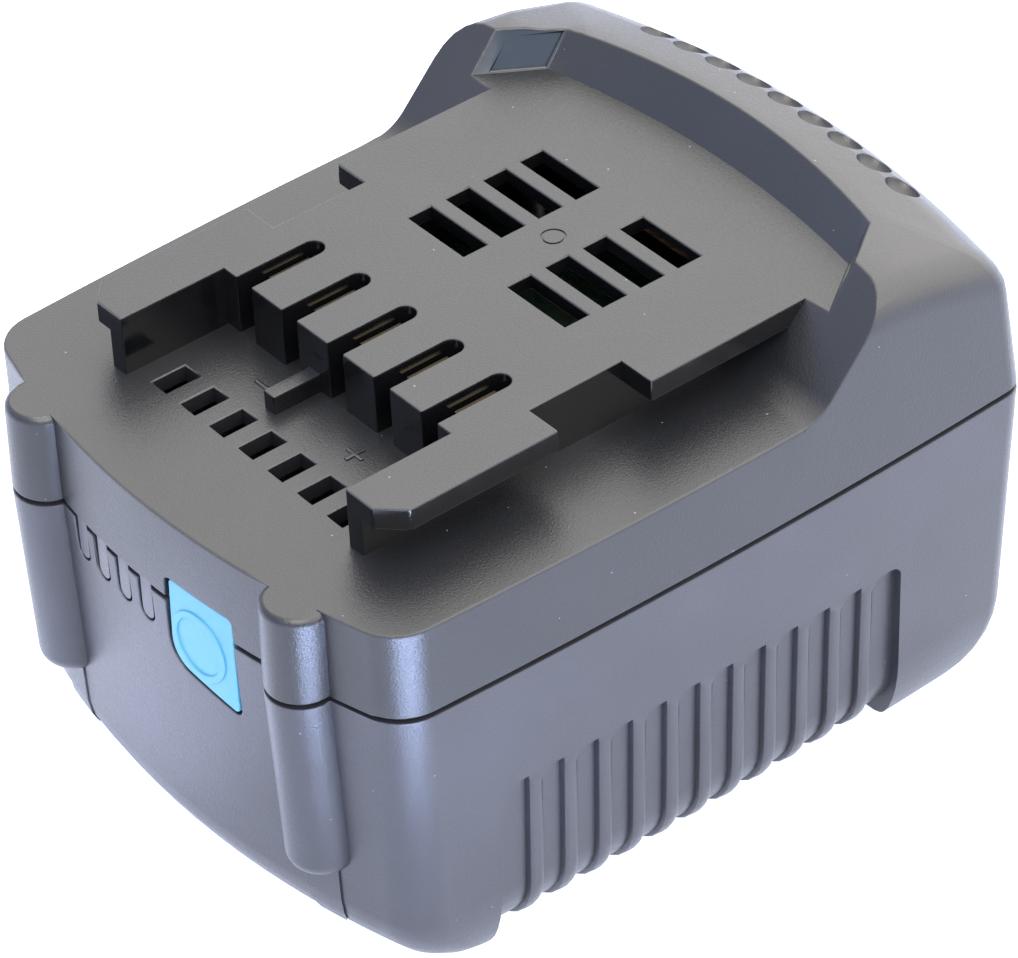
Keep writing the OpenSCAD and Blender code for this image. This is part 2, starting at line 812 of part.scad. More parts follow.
// Pocket in the wall for the nose of a snap hook
module hook_pocket(y) {
  x = half_w - wall;
  reach = hook_w / 2 + hook_fit;
  both_sides()
    box([x - hook_room - hook_fit, y - reach, z_split - hook_down - hook_fit],
      [x + hook_bite + hook_fit, y + reach, z_split - hook_down + hook_nose + hook_fit]);
}

module lower_housing() {
  color("#4a4b50")
    difference() {
      union() {
        housing_solid(0, 0, 0);
        both_sides() {
          intersection() {
            housing_solid(-ridge_out, 0, 0);
            translate([column_x, column_y, 0])
              cylinder(r = column_r - ridge_in, h = column_foot + column_foot_r);
          }
          column_low();
        }
      }
      difference() {
        housing_solid(wall, floor_t, over);
        housing_inside();
      }
      both_sides()
        fin_cut();
      cell_rooms();
      joint_groove();
      front_openings();
      for (i = [0:windows - 1])
        along_y(y_front - over, gauge_y)
          window_shape(i, window_gap);
      for (y = [row_front + cell_pitch, row_rear - cell_pitch])
        hook_pocket(y);
    }
}

// Part of a front column that belongs to the lower housing
module column_low() {
  round_z = column_foot + column_foot_r;
  tilt = atan(column_lean);
  intersection() {
    translate([0, column_y, z_split])
      rotate([tilt, 0, 0])
        translate([0, -column_y, -z_split]) {
          translate([0, 0, round_z])
            linear_extrude(z_split - round_z + over)
              translate([column_x, column_y])
                circle(column_r);
          translate([column_x, column_y, 0])
            rotate_extrude()
              polygon(concat(
                [[0, round_z + over], [0, column_foot]],
                arc([column_r - column_foot_r, round_z], column_foot_r, -90, 0, 6),
                [[column_r, round_z + over]]
              ));
        }
    box([0, -pack_l, 0], [half_w, pack_l, z_split]);
  }
}

// Pads behind the fins, cell seats and board guides inside the lower housing
module housing_inside() {
  both_sides()
    box([pad_in, fin_y1 - wall, 0], [half_w, fin_y2 + wall, fin_top + wall]);
  for (x = [-cell_l / 3, 0, cell_l / 3])
    box([x - seat_w / 2, row_front + cell_r / 3, 0],
      [x + seat_w / 2, row_rear - cell_r / 3, z_low - cell_r + seat_rise]);
}

// Height of the hump surface over a point of the plan
function hump_z(x, y) =
  let (
    s = max(0, (y - y_ramp) / ramp_back),
    v = max(0, y + s * x * x / (2 * rear_r) - y_crown)
  )
  z_crown - v * v / (2 * hump_long_r) - x * x / (2 * hump_cross_r);

// Ring of the cover on the hump surface, set in by angle t and lowered by drop
function cover_ring(t, drop) =
  let (
    c = 1 - cos(t),
    lean = hump_lean * (z_rail - z_split),
    p = plan(front_corner_r * c, hump_round_side * c, lean + hump_round_rear * c,
      max(front_corner_r - hump_round_side * c, 1), max(rear_corner_r - hump_round_side * c / 2, 1))
  )
  [for (q = p) [q[0], q[1], hump_z(q[0], q[1]) - drop]];

// Rings that close the cover towards a point below the pocket
function cap_ring(share) =
  let (p = cover_ring(90, 0))
  [for (q = p)
    let (x = q[0] * (1 - share), y = y_crown + (q[1] - y_crown) * (1 - share))
    [x, y, hump_z(x, y)]];

// Solid of the cover with its hump, before the rails are cut free
module cover_solid() {
  steps = 5;
  loft(concat(
    [at_z(plan(0, 0, 0, front_corner_r, rear_corner_r), z_split)],
    [for (i = [0:steps]) let (t = 90 * i / steps)
      cover_ring(t, hump_round_h * (1 - sin(t)))],
    [for (s = [0.2, 0.4, 0.6, 0.8, 0.98]) cap_ring(s)]
  ));
}

// Everything above the shoulder in front of the side ramps
module ramp_cut() {
  far = pack_l;
  top = z_crown + rail_h;
  run = (z_rail - z_shoulder) / tan(ramp_slope);
  y_foot = y_ramp - run;
  reach = ramp_foot_r * tan(ramp_slope / 2);
  along_x(-half_w - over, half_w + over)
    difference() {
      polygon([
        [-far, z_shoulder], [y_foot, z_shoulder],
        [y_foot + (top - z_shoulder) / tan(ramp_slope), top], [-far, top]
      ]);
      difference() {
        polygon([
          [y_foot - reach, z_shoulder - over], [y_foot + over, z_shoulder - over],
          [y_foot + reach * cos(ramp_slope), z_shoulder + reach * sin(ramp_slope)],
          [y_foot - reach, z_shoulder + ramp_foot_r]
        ]);
        translate([y_foot - reach, z_shoulder + ramp_foot_r])
          circle(ramp_foot_r);
      }
    }
}

// Pocket in the hump, open to the rails
module pocket_cut() {
  depth = hump_rise + 2 * over;
  fan = 1.3;
  c = [0, y_pocket - pocket_r];
  a = acos(pocket_w / pocket_r);
  run = half_w - pocket_w - hump_round_side / 2 + over / 2;
  corner = c + pocket_r * [cos(a), sin(a)];
  right = [corner + run * [1, -pocket_end_slope]];
  bow = concat([corner], arc(c, pocket_r, a, 180 - a, 12));
  left = [[-right[0][0], right[0][1]]];
  front = [[-half_w, y_lip], [half_w, y_lip]];
  foot = concat(right, bow, left, front);
  n = len(foot);
  lift = [for (i = [0:n - 1]) i < n - 2 ? pocket_lean * depth * (i == 0 || i == n - 3 ? fan : 1) : 0];
  loft([
    [for (p = foot) [p[0], p[1], z_rail]],
    [for (i = [0:n - 1]) [foot[i][0], foot[i][1] + lift[i], z_rail + depth]]
  ]);
}

// Smooth patch sunk into each slanted end of the pocket wall
module pocket_patch() {
  a = acos(pocket_w / pocket_r);
  turn = atan(pocket_end_slope);
  tilt = atan(pocket_lean * cos(turn));
  shift = pocket_lean * sin(turn) * cos(tilt);
  low = 0.4;
  both_sides()
    translate([pocket_w, y_pocket - pocket_r + pocket_r * sin(a), z_rail])
      rotate([0, 0, -turn])
        rotate([-tilt, 0, 0])
          along_y(-hump_rise / 2, patch_d)
            polygon([
              [low, low], [low + patch_l, low],
              [low + patch_l - shift * patch_h, low + patch_h], [low - shift * patch_h, low + patch_h]
            ]);
}

// Finger scoops along the rear edge of the hump
module scoop_cut() {
  for (i = [-(scoops - 1) / 2:(scoops - 1) / 2]) {
    x = i * scoop_pitch;
    y = y_rear - scoop_back - x * x / (2 * rear_r);
    translate([x, y, hump_z(x, y)] + (scoop_r - scoop_d) * [0, sin(scoop_tilt), cos(scoop_tilt)])
      sphere(scoop_r);
  }
}

// Lips, webs, teeth and coding bar above the shoulder
module rails() {
  low = z_shoulder - over / 2;
  root = rail_web - over;
  box([-rail_web, y_tooth, low], [rail_web, y_pocket + wall, z_rail]);
  both_sides() {
    box([rail_in, y_rail, low], [rail_web, y_tooth + over, z_rail]);
    translate([0, 0, z_rail - lip_t])
      linear_extrude(lip_t) {
        polygon([
          [root, y_rail], [rail_lip - lip_bevel, y_rail], [rail_lip, y_rail + lip_bevel],
          [rail_lip, y_notch], [root, y_notch]
        ]);
        translate([root, y_lip])
          square([rail_lip - root, y_ramp + wall - y_lip]);
      }
  }
  box([-slot_pitch / 2 - key_w / 2, y_tooth - key_l, low],
    [-slot_pitch / 2 + key_w / 2, y_tooth + over, z_shoulder + key_h]);
  polarity_marks(low);
}

// Raised plus and minus on the floor of the contact bay
module polarity_marks(low) {
  y = (y_rail + hole_setback + hole_l / 2 + y_tooth) / 2;
  translate([0, y, low])
    linear_extrude(z_shoulder + mark_h - low) {
      for (i = [1, slots - 2])
        translate([slot_mid(i), 0])
          square([mark_l, mark_w], center = true);
      translate([slot_mid(slots - 2), 0])
        square([mark_w, mark_l], center = true);
    }
}

// Hollow inside of the cover
module cover_inside() {
  roof = z_shoulder - wall;
  back = wall + hump_lean * cover_h;
  translate([0, 0, z_split - over])
    linear_extrude(roof - z_split + over)
      polygon(plan(wall, wall, back, front_corner_r - wall, max(rear_corner_r - wall, 1)));
  low = roof - over;
  high = z_rail - deck_t;
  hump_side = half_w - hump_round_side - wall - over / 2;
  hump_back = y_rear - hump_round_rear - wall - over;
  box([-deck_room, y_slot + slot_w / 2 + slot_wall, low], [deck_room, y_pocket, high]);
  box([-hump_side, y_ramp + wall + over, low], [hump_side, hump_back, high]);
  for (i = [0:slots - 2])
    box([slot_mid(i) + slot_w / 2 + slot_wall, y_tooth + slot_wall, low],
      [slot_mid(i + 1) - slot_w / 2 - slot_wall, y_slot + slot_w / 2, high]);
}

function slot_mid(i) = (i - (slots - 1) / 2) * slot_pitch;

// Slots, wells, holes and vents through the cover
module cover_openings() {
  for (i = [0:slots - 1])
    translate([slot_mid(i), 0, 0]) {
      translate([0, 0, z_shoulder])
        linear_extrude(rail_h + over) {
          translate([-slot_w / 2, y_tooth - over])
            square([slot_w, slot_l + over]);
          translate([0, y_slot])
            circle(slot_w / 2);
        }
      box([-slot_w / 2, contact_y - over / 2, z_shoulder - wall - over],
        [slot_w / 2, y_slot + over / 2, z_shoulder + over]);
    }
  for (i = [-3:3])
    box([i * hole_pitch - hole_w / 2, y_rail + hole_setback - hole_l / 2, z_shoulder - wall - over],
      [i * hole_pitch + hole_w / 2, y_rail + hole_setback + hole_l / 2, z_shoulder + over]);
  both_sides()
    for (i = [0:3])
      box([vent_in, y_vent + i * vent_pitch, z_rail - deck_t - over],
        [vent_in + vent_l, y_vent + i * vent_pitch + vent_w, z_rail + over]);
  translate([0, y_vent + 2 * vent_pitch - vent_w / 3, z_rail - gate_depth])
    difference() {
      cylinder(d = gate_d, h = over);
      translate([0, 0, -over])
        cylinder(d = gate_d - 2 * gate_line, h = 3 * over);
    }
}

// Snap hook on the inside of the cover
module hook(y) {
  x = half_w - wall;
  inner = x - hook_room - hook_t;
  half = hook_w / 2;
  both_sides() {
    box([inner, y - half, z_split - hook_down], [x - hook_room, y + half, z_split + hook_up]);
    box([inner, y - half, z_split - hook_down], [x + hook_bite, y + half, z_split - hook_down + hook_nose]);
    box([inner, y - half, z_split + joint_groove_h], [x + wall / 3, y + half, z_split + hook_up]);
  }
}

// Part of a front column that belongs to the cover, with its rounded upper end
module column_high() {
  inner = column_r - column_top_r;
  top = z_shoulder + over;
  intersection() {
    translate([column_x, column_y, z_split])
      rotate([-atan(column_draft), 0, 0])
        translate([0, 0, -z_split])
          rotate_extrude()
            polygon(concat(
              [[0, top], [0, z_split - over], [column_r, z_split - over]],
              [[column_r, z_shoulder - column_top_r]],
              arc([inner, z_shoulder - column_top_r], column_top_r, 0, 90, 6),
              [[inner, top]]
            ));
    box([0, -pack_l, z_split], [half_w, pack_l, z_rail]);
  }
}

module top_cover() {
  color("#505055")
    difference() {
      union() {
        difference() {
          union() {
            difference() {
              union() {
                cover_solid();
                both_sides()
                  column_high();
              }
              ramp_cut();
            }
            rails();
          }
          pocket_cut();
          pocket_patch();
          scoop_cut();
          cover_inside();
          cover_openings();
        }
        for (y = [row_front + cell_pitch, row_rear - cell_pitch])
          hook(y);
      }
      joint_groove();
      front_openings();
    }
}

// The bowed front face of the button, standing out from the wall by out
module button_face(out) {
  translate([0, y_front + front_r, 0])
    cylinder(r = front_r + out, h = z_rail, $fn = 360);
}

module test_button() {
  color("#86cfee") {
    intersection() {
      along_y(y_front - 2 * column_out, flange_y + flange_t)
        button_shape(0);
      button_face(-button_sunk);
    }
    intersection() {
      along_y(y_front - 2 * column_out, flange_y + flange_t)
        intersection() {
          button_shape(0);
          translate([button_mid_x - ring_aside, z_button - ring_drop])
            difference() {
              circle(button_ring_r);
              circle(button_ring_r - ring_w);
            }
        }
      button_face(ring_h - button_sunk);
    }
    along_y(flange_y, flange_y + flange_t)
      button_shape(flange_w);
    translate([button_mid_x, stem_y, z_button])
      rotate([90, 0, 0])
        cylinder(r = stem_r, h = stem_l + flange_t / 2);
  }
}

// Clear piece that carries the light to the four windows
module light_guide() {
  tongue_y = gauge_y - led_d - guide_gap;
  bar_y = tongue_y - guide_gap;
  bar_top = z_split - guide_bar_drop;
  color("#b9b6bf")
    difference() {
      intersection() {
        union() {
          for (i = [0:windows - 1])
            along_y(y_front - column_out, tongue_y)
              window_shape(i, 0);
          box([window_mid(windows - 1), bar_y - guide_bar_d, bar_top - guide_bar_h],
            [window_mid(0), bar_y, bar_top]);
        }
        button_face(-window_sunk);
      }
      translate([0, y_front + front_r, z_split - window_gap])
        cylinder(r = front_r - joint_groove_d + window_gap, h = rail_h, $fn = 360);
    }
}

// One cell: column 0 to 4 from the front, layer 0 below and 1 above
module cell(column, layer) {
  shoulder = cell_l - cap_h;
  crimp = cell_l - crimp_back;
  flank = crimp_d * 0.6;
  facing = column % 2 == 0 ? 90 : -90;
  color("#2f7f86")
    translate([0, row_front + cell_r + column * cell_pitch, layer == 0 ? z_low : z_high])
      rotate([0, facing, 0])
        translate([0, 0, -cell_l / 2])
          rotate_extrude()
            polygon([
              [0, 0], [cell_r - cell_edge, 0], [cell_r, cell_edge], [cell_r, crimp - 2 * flank - crimp_d],
              [cell_r - crimp_d, crimp - flank - crimp_d], [cell_r - crimp_d, crimp], [cell_r, crimp + flank],
              [cell_r, shoulder - cell_edge], [cell_r - cell_edge, shoulder],
              [cap_r, shoulder], [cap_r, cell_l], [0, cell_l]
            ]);
}

// Tray between the two layers of cells
module cell_spacer() {
  half = cell_l / 2 - spacer_set;
  color("#1d1d20")
    difference() {
      box([-half, row_front + spacer_end, z_low + cell_r - spacer_reach],
        [half, row_rear - spacer_end, z_high - cell_r + spacer_reach]);
      cell_rooms();
      for (x = [-cell_l / 6, cell_l / 6], i = [0:3])
        box([x - cell_r * 2 / 3, row_front + cell_r * 4 / 3 + i * cell_pitch, z_low - cell_d],
          [x + cell_r * 2 / 3, row_front + cell_r * 2 / 3 + (i + 1) * cell_pitch, z_high + cell_d]);
    }
}

function post_y(i) = row_front + cell_d + cell_gap / 2 + (i == 0 ? 0 : 3 * cell_pitch);

// Frame over the upper cells that carries the main board
module cell_carrier() {
  half = cell_l / 2 - carrier_set;
  end = cell_r - carrier_set;
  window = cell_l / 2 - post_edge - 1.25 * post_d;
  color("#1d1d20")
    difference() {
      union() {
        box([-half, row_front + end, z_high + cell_r - carrier_reach],
          [half, row_rear - end, z_high + cell_r + carrier_t]);
        for (x = [-post_x, post_x], i = [0:1])
          translate([x, post_y(i), z_high + cell_r])
            cylinder(d = post_d, h = z_board - z_high - cell_r);
      }
      cell_rooms();
      for (x = [-post_x, post_x], i = [0:1])
        translate([x, post_y(i), z_board - screw_l - screw_fit])
          cylinder(r = screw_r + screw_fit, h = screw_l + over);
      box([-window, row_front + 1.2 * cell_d, z_low], [window, row_front + 3.6 * cell_d, z_rail]);
    }
}

// Link over the columns first to last, with a tab up to the main board
module link(first, last, side) {
  y1 = row_front + cell_r + first * cell_pitch;
  y2 = row_front + cell_r + last * cell_pitch;
  color("#b9b7ae")
    mirror([side < 0 ? 1 : 0, 0, 0])
      along_x(cell_l / 2, cell_l / 2 + link_t)
        difference() {
          union() {
            translate([y1 - link_half, z_low - link_half])
              square([y2 - y1 + 2 * link_half, z_high - z_low + 2 * link_half]);
            translate([y1 - tab_w / 2, z_high])
              square([tab_w, z_board - z_high]);
          }
          for (y = [y1, y2], z = [z_low, z_high])
            translate([y, z])
              square([slit_w, slit_l], center = true);
        }
}

module insulator(side) {
  reach = link_half + sheet_margin;
  edge = cell_r - reach;
  color("#d9d3bf")
    mirror([side < 0 ? 1 : 0, 0, 0])
      box([cell_l / 2 + link_t, row_front + edge, z_low - reach],
        [sheet_out, row_rear - edge, z_high + reach]);
}

module circuit_board() {
  color("#1f5a3c")
    difference() {
      box([-board_w, board_y, z_board], [board_w, board_rear, z_parts]);
      for (x = [-post_x, post_x], i = [0:1])
        translate([x, post_y(i), z_board - over])
          cylinder(r = screw_r + screw_clear, h = board_t + 2 * over);
    }
}

// Insulating block that holds the five contacts
module contact_block() {
  half = rail_in - block_side;
  half_leaf = leaf_gap / 2 + leaf_t + contact_fit;
  color("#17171a")
    difference() {
      box([-half, contact_y - block_rim, z_parts], [half, y_slot + block_rim, z_parts + contact_block_h]);
      for (i = [0:slots - 1])
        box([slot_mid(i) - half_leaf, contact_y - contact_fit, z_parts - over],
          [slot_mid(i) + half_leaf, y_slot + contact_fit, z_parts + contact_block_h + over]);
    }
}

// Fork contact with two sprung leaves
module contact(i) {
  inner = leaf_gap / 2;
  outer = inner + leaf_t;
  pinch = contact_pinch;
  z_pinch = contact_top - pinch_drop;
  z_fork = z_parts + contact_foot;
  color("#c9a558")
    along_y(contact_y, y_slot)
      translate([slot_mid(i), 0])
        polygon([
          [-outer, z_parts], [outer, z_parts], [outer, z_shoulder], [outer - pinch, z_pinch],
          [outer, contact_top], [inner, contact_top], [inner - pinch, z_pinch], [inner, z_shoulder],
          [inner, z_fork], [-inner, z_fork], [-inner, z_shoulder], [-inner + pinch, z_pinch],
          [-inner, contact_top], [-outer, contact_top], [-outer + pinch, z_pinch], [-outer, z_shoulder]
        ]);
}

// A chip package with its centre at x, y on the main board
module chip(x, y, w, l, h) {
  box([x - w / 2, y - l / 2, z_parts], [x + w / 2, y + l / 2, z_parts + h]);
}

module power_transistors() {
  color("#202024")
    for (i = [-1:1])
      chip(transistor_x + transistor_pitch * i, y_slot + transistor_back,
        transistor_w, transistor_l, transistor_h);
}

module control_chip() {
  color("#26262a")
    chip(-chip_x, y_slot + chip_back, chip_w, chip_w, chip_h);
}

module current_shunt() {
  color("#8f8f92")
    chip(-board_w + shunt_edge, y_slot + chip_back, shunt_w, shunt_l, shunt_h);
}

module capacitors() {
  color("#8a6a45")
    for (i = [0:capacitor_count - 1])
      chip(capacitor_pitch * i - chip_x - chip_w / 2, y_slot + capacitor_back,
        capacitor_w, capacitor_l, capacitor_h);
}

// Temperature sensor on the middle cell, in the opening of the carrier
module thermistor() {
  y = row_front + cell_r + 2 * cell_pitch;
  color("#5a2c1e")
    box([sensor_x - sensor_w / 2, y - sensor_l / 2, z_high + cell_r + cell_fit],
      [sensor_x + sensor_w / 2, y + sensor_l / 2, z_board]);
}

module gauge_board() {
  color("#1f5a3c")
    box([window_mid(windows - 1) - gauge_left, gauge_y, z_split - gauge_down],
      [button_x + button_w + gauge_right, board_y, z_board + gauge_up]);
}

module gauge_leds() {
  color("#e8e6d8")
    for (i = [0:windows - 1])
      box([window_mid(i) - led_w / 2, gauge_y - led_d, z_split - led_drop - led_w],
        [window_mid(i) + led_w / 2, gauge_y, z_split - led_drop]);
}

module test_switch() {
  color("#2a2a2d")
    difference() {
      box([button_mid_x - switch_w / 2, switch_y, z_button - switch_w / 2],
        [button_mid_x + switch_w / 2, gauge_y, z_button + switch_w / 2]);
      translate([button_mid_x, gauge_y + over, z_button])
        rotate([90, 0, 0])
          cylinder(r = plunger_r + plunger_fit, h = switch_d + 2 * over);
    }
}

module switch_plunger() {
  plunger_end = gauge_y - button_travel - plunger_room;
  color("#d8d4c8")
    translate([button_mid_x, plunger_end, z_button])
      rotate([90, 0, 0])
        cylinder(r = plunger_r, h = plunger_end - plunger_y);
}

module board_screws() {
  color("#9a9a9d")
    for (x = [-post_x, post_x], i = [0:1])
      translate([x, post_y(i), 0]) {
        translate([0, 0, z_board - screw_l])
          cylinder(d = screw_d, h = board_t + screw_l + screw_fit);
        difference() {
          translate([0, 0, z_parts])
            cylinder(d = head_d, h = head_h);
          for (a = [0, 90])
            rotate([0, 0, a])
              translate([-0.3 * head_d, -cross_w / 2, z_parts + head_h - cross_d])
                cube([0.6 * head_d, cross_w, over]);
        }
      }
}

lower_housing();
top_cover();
test_button();
light_guide();
cell(0, 0);  // cell_1
cell(1, 0);  // cell_2
cell(2, 0);  // cell_3
cell(3, 0);  // cell_4
cell(4, 0);  // cell_5
cell(0, 1);  // cell_6
cell(1, 1);  // cell_7
cell(2, 1);  // cell_8
cell(3, 1);  // cell_9
cell(4, 1);  // cell_10
cell_spacer();
cell_carrier();
link(0, 1, -1);  // link_left_1
link(2, 3, -1);  // link_left_2
link(4, 4, -1);  // link_left_3
link(0, 0, 1);  // link_right_1
link(1, 2, 1);  // link_right_2
link(3, 4, 1);  // link_right_3
insulator(-1);  // insulator_left
insulator(1);  // insulator_right
circuit_board();
contact_block();
contact(0);  // contact_1
contact(1);  // contact_2
contact(2);  // contact_3
contact(3);  // contact_4
contact(4);  // contact_5
power_transistors();
control_chip();
current_shunt();
capacitors();
thermistor();
gauge_board();
gauge_leds();
test_switch();
switch_plunger();
board_screws();
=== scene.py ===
"""Looks of a slide-in battery pack for a cordless tool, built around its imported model."""

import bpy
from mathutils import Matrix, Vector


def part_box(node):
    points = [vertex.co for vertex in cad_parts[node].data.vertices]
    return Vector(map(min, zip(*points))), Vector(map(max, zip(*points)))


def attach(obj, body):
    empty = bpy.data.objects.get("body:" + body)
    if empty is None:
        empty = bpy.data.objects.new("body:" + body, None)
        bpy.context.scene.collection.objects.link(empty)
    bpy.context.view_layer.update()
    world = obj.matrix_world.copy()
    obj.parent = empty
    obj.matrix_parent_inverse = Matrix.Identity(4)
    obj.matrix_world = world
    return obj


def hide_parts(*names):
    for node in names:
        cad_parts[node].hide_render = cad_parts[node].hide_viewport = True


bl_info = {
    "name": "Slide-in battery pack",
    "version": (1, 0, 0),
    "blender": (4, 5, 0),
    "location": "3D View > Sidebar > Battery pack",
    "description": "Dresses the packed battery pack with moulded, metal and board finishes",
    "category": "Object",
}

import math

import bmesh
import bpy
from mathutils import Matrix, Vector
from mathutils.bvhtree import BVHTree

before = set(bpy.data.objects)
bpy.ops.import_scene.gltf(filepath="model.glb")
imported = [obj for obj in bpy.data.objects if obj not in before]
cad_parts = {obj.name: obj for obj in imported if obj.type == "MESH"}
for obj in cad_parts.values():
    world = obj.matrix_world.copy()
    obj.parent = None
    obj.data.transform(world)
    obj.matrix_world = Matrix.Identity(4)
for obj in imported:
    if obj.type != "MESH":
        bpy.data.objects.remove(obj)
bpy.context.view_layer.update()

MM = 0.001

# Points closer than MERGE become one, and faces that turn less than FLAT become one
MERGE = 0.002 * MM
FLAT = math.radians(0.4)

# Edges that turn more than CREASE are rounded, unless there is room for less than FINEST only, and
# what then turns more than KEEP shades as sharp
CREASE = math.radians(30)
KEEP = math.radians(36)
FINEST = 0.06 * MM

# A rounding wider than WIDE fades out over this length at both ends of a long edge
WIDE = 0.5 * MM
FADE = 1.0 * MM

# Space that a rounding needs beside its edge, as a share of its radius
ROOM_SHARE = 1.2

# Roundings of the button and the light guide
BUTTON_EDGE = 0.2 * MM
GUIDE_EDGE = 0.1 * MM

# Height of the shoulder, and how close to it an edge counts as part of it
SHOULDER_Z = 56.05 * MM
SHOULDER_SLACK = 0.1 * MM

# Edges deeper inside the case than this, between these heights, stay crisp
CASE_WALL = 5 * MM
INNER_LOW = 3 * MM
INNER_HIGH = SHOULDER_Z - 0.5 * MM

# Slack round the zones of edges below
SLACK = MM

# Half the width over the rail lips, where the rails begin, and the room left round them
RAIL_HALF = 29.6 * MM
RAIL_FRONT = -38.9 * MM
RAIL_BESIDE = 2 * MM
RAIL_BEFORE = 3 * MM

# Faces of the rails are found with this slack, and are upright if their normals rise less than this
RAIL_SLACK = 0.5 * MM
RAIL_FOOT = 0.2 * MM
UPRIGHT = 0.35

# Where the hump rises behind the rails
RAMP_FRONT = 23.6 * MM

# Finger scoops in a row that follows the rear wall, whose radius is half of REAR_BEND
SCOOP_COUNT = 9
SCOOP_PITCH = 5.67 * MM
SCOOP_MIDDLE = 46.5 * MM
SCOOP_TILT = math.radians(33.4)
REAR_BEND = 436 * MM

# How far a scoop's floor lies below the hump, straight down, and a height above the whole pack
SCOOP_SINK = 1.025 * MM
ABOVE_ALL = 0.2

# The edges of the scoops stay crisp: half the run and where they begin
SCOOP_HALF = 27 * MM
SCOOP_FRONT = 43.2 * MM

# Front and rear end of the finned field on each side, and its height
FIN_ENDS = (-32.9 * MM, 29.7 * MM)
FIN_TOP = 26.6 * MM

# The smooth patches lie in the slanted ends of the pocket wall, sunk below a plane that far from
# the origin, and face along PATCH_TURN
PATCH_X = (24.5 * MM, 36.5 * MM)
PATCH_Y = (19 * MM, 38 * MM)
PATCH_TURN = (0.753, -0.519, 0.405)
PATCH_PLANE = -11.6 * MM
FACING = 0.98

CELL_COUNT = 10
CELL_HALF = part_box("cell_1")[1].x
CONTACT_COUNT = 5

# Spot welds stand this far from a cell's axis in both directions
WELD_ACROSS = 1.6 * MM

# Height of the lamps that light the floor
LAMP_HEIGHT = 0.6

# Sockets of the mix node when it mixes colours
MIX_SHARE, MIX_FIRST, MIX_SECOND, MIX_RESULT = 0, 6, 7, 2


def linear(code):
    """Turns an sRGB hex colour into linear red, green, blue and full alpha."""
    parts = [int(code[i:i + 2], 16) / 255 for i in (1, 3, 5)]
    curve = [c / 12.92 if c <= 0.04045 else ((c + 0.055) / 1.055) ** 2.4 for c in parts]
    return (*curve, 1.0)


def shade(base, share):
    """A colour made darker or lighter by a share, with full alpha."""
    return tuple(min(1.0, share * c) for c in base[:3]) + (1.0,)


def node(tree, kind, inputs=None, **settings):
    """Adds a node, sets its properties, and fills its inputs with values or nodes' outputs."""
    made = tree.nodes.new(kind)
    for name, value in settings.items():
        setattr(made, name, value)
    for key, value in (inputs or {}).items():
        if isinstance(value, bpy.types.NodeSocket):
            tree.links.new(value, made.inputs[key])
        else:
            made.inputs[key].default_value = value
    return made


def linked(name, data):
    """A new object with this data, linked to the scene."""
    made = bpy.data.objects.new(name, data)
    bpy.context.scene.collection.objects.link(made)
    return made


def surface(name, paint):
    """A material whose Principled inputs are what paint(tree, object coordinates) gives."""
    made = bpy.data.materials.new(name)
    made.use_nodes = True
    tree = made.node_tree
    tree.nodes.clear()
    coords = node(tree, "ShaderNodeTexCoord").outputs["Object"]
    shader = node(tree, "ShaderNodeBsdfPrincipled", paint(tree, coords))
    node(tree, "ShaderNodeOutputMaterial", {"Surface": shader.outputs[0]})
    return made


def grains(tree, coords, size, detail=2.0):
    """Soft noise from 0 to 1 with lumps of a given size in metres."""
    return node(tree, "ShaderNodeTexNoise", {
        "Vector": coords, "Scale": 1 / size, "Detail": detail, "Roughness": 0.55,
    }).outputs["Fac"]


def streaks(tree, coords, scale, detail):
    """Noise from 0 to 1 with its own scale along each axis, for lines and fibres."""
    scaled = node(tree, "ShaderNodeMapping", {"Vector": coords, "Scale": scale}).outputs[0]
    return node(tree, "ShaderNodeTexNoise", {
        "Vector": scaled, "Scale": 1.0, "Detail": detail,
    }).outputs["Fac"]


def between(tree, fac, low, high, start=0.3, end=0.7):
    """Number that goes from low to high as fac goes from start to end."""
    return node(tree, "ShaderNodeMapRange", {
        "Value": fac, "From Min": start, "From Max": end, "To Min": low, "To Max": high,
    }).outputs["Result"]


def tint(tree, fac, low, high):
    """Colour between two linear colours."""
    return node(tree, "ShaderNodeMix", {
        MIX_SHARE: fac, MIX_FIRST: low, MIX_SECOND: high,
    }, data_type="RGBA").outputs[MIX_RESULT]


def relief(tree, height, depth):
    """Bump from a height that goes from 0 to 1, depth metres deep."""
    return node(tree, "ShaderNodeBump", {
        "Height": height, "Distance": depth, "Strength": 1.0,
    }).outputs["Normal"]


def moulded_nylon(name, base, rough, grain, depth):
    """Glass-filled nylon from a spark-eroded mould: a dull dark skin with a fine even grain, softly
    shiny where it turns away, a little cloudy in colour, with a few specks of dust."""
    cloud_size = 14 * MM
    speck_size = 2.6 * MM
    # Dust is drawn about twice its real size, because finer specks do not show
    speck_radius = 0.055
    speck_strength = 0.28
    # Only cells of the pattern with a value above this hold a speck
    dusty_from, dusty_to = 0.68, 0.7

    def paint(tree, coords):
        cloud = grains(tree, coords, cloud_size)
        fine = grains(tree, coords, grain, detail=3.0)
        skin = tint(tree, between(tree, cloud, 0, 1), shade(base, 0.86), shade(base, 1.14))
        cells = node(tree, "ShaderNodeTexVoronoi", {"Vector": coords, "Scale": 1 / speck_size})
        dusty = between(tree, cells.outputs["Color"], 0, 1, dusty_from, dusty_to)
        spot = between(
            tree, cells.outputs["Distance"], speck_strength, 0, 0.6 * speck_radius, speck_radius)
        speck = node(tree, "ShaderNodeMath", {0: spot, 1: dusty}, operation="MULTIPLY").outputs[0]
        return {
            "Base Color": tint(tree, speck, skin, linear("#b9bcc4")),
            "Roughness": between(tree, fine, rough - 0.05, rough + 0.06),
            "IOR": 1.53,
            "Normal": relief(tree, fine, depth),
        }

    return surface(name, paint)


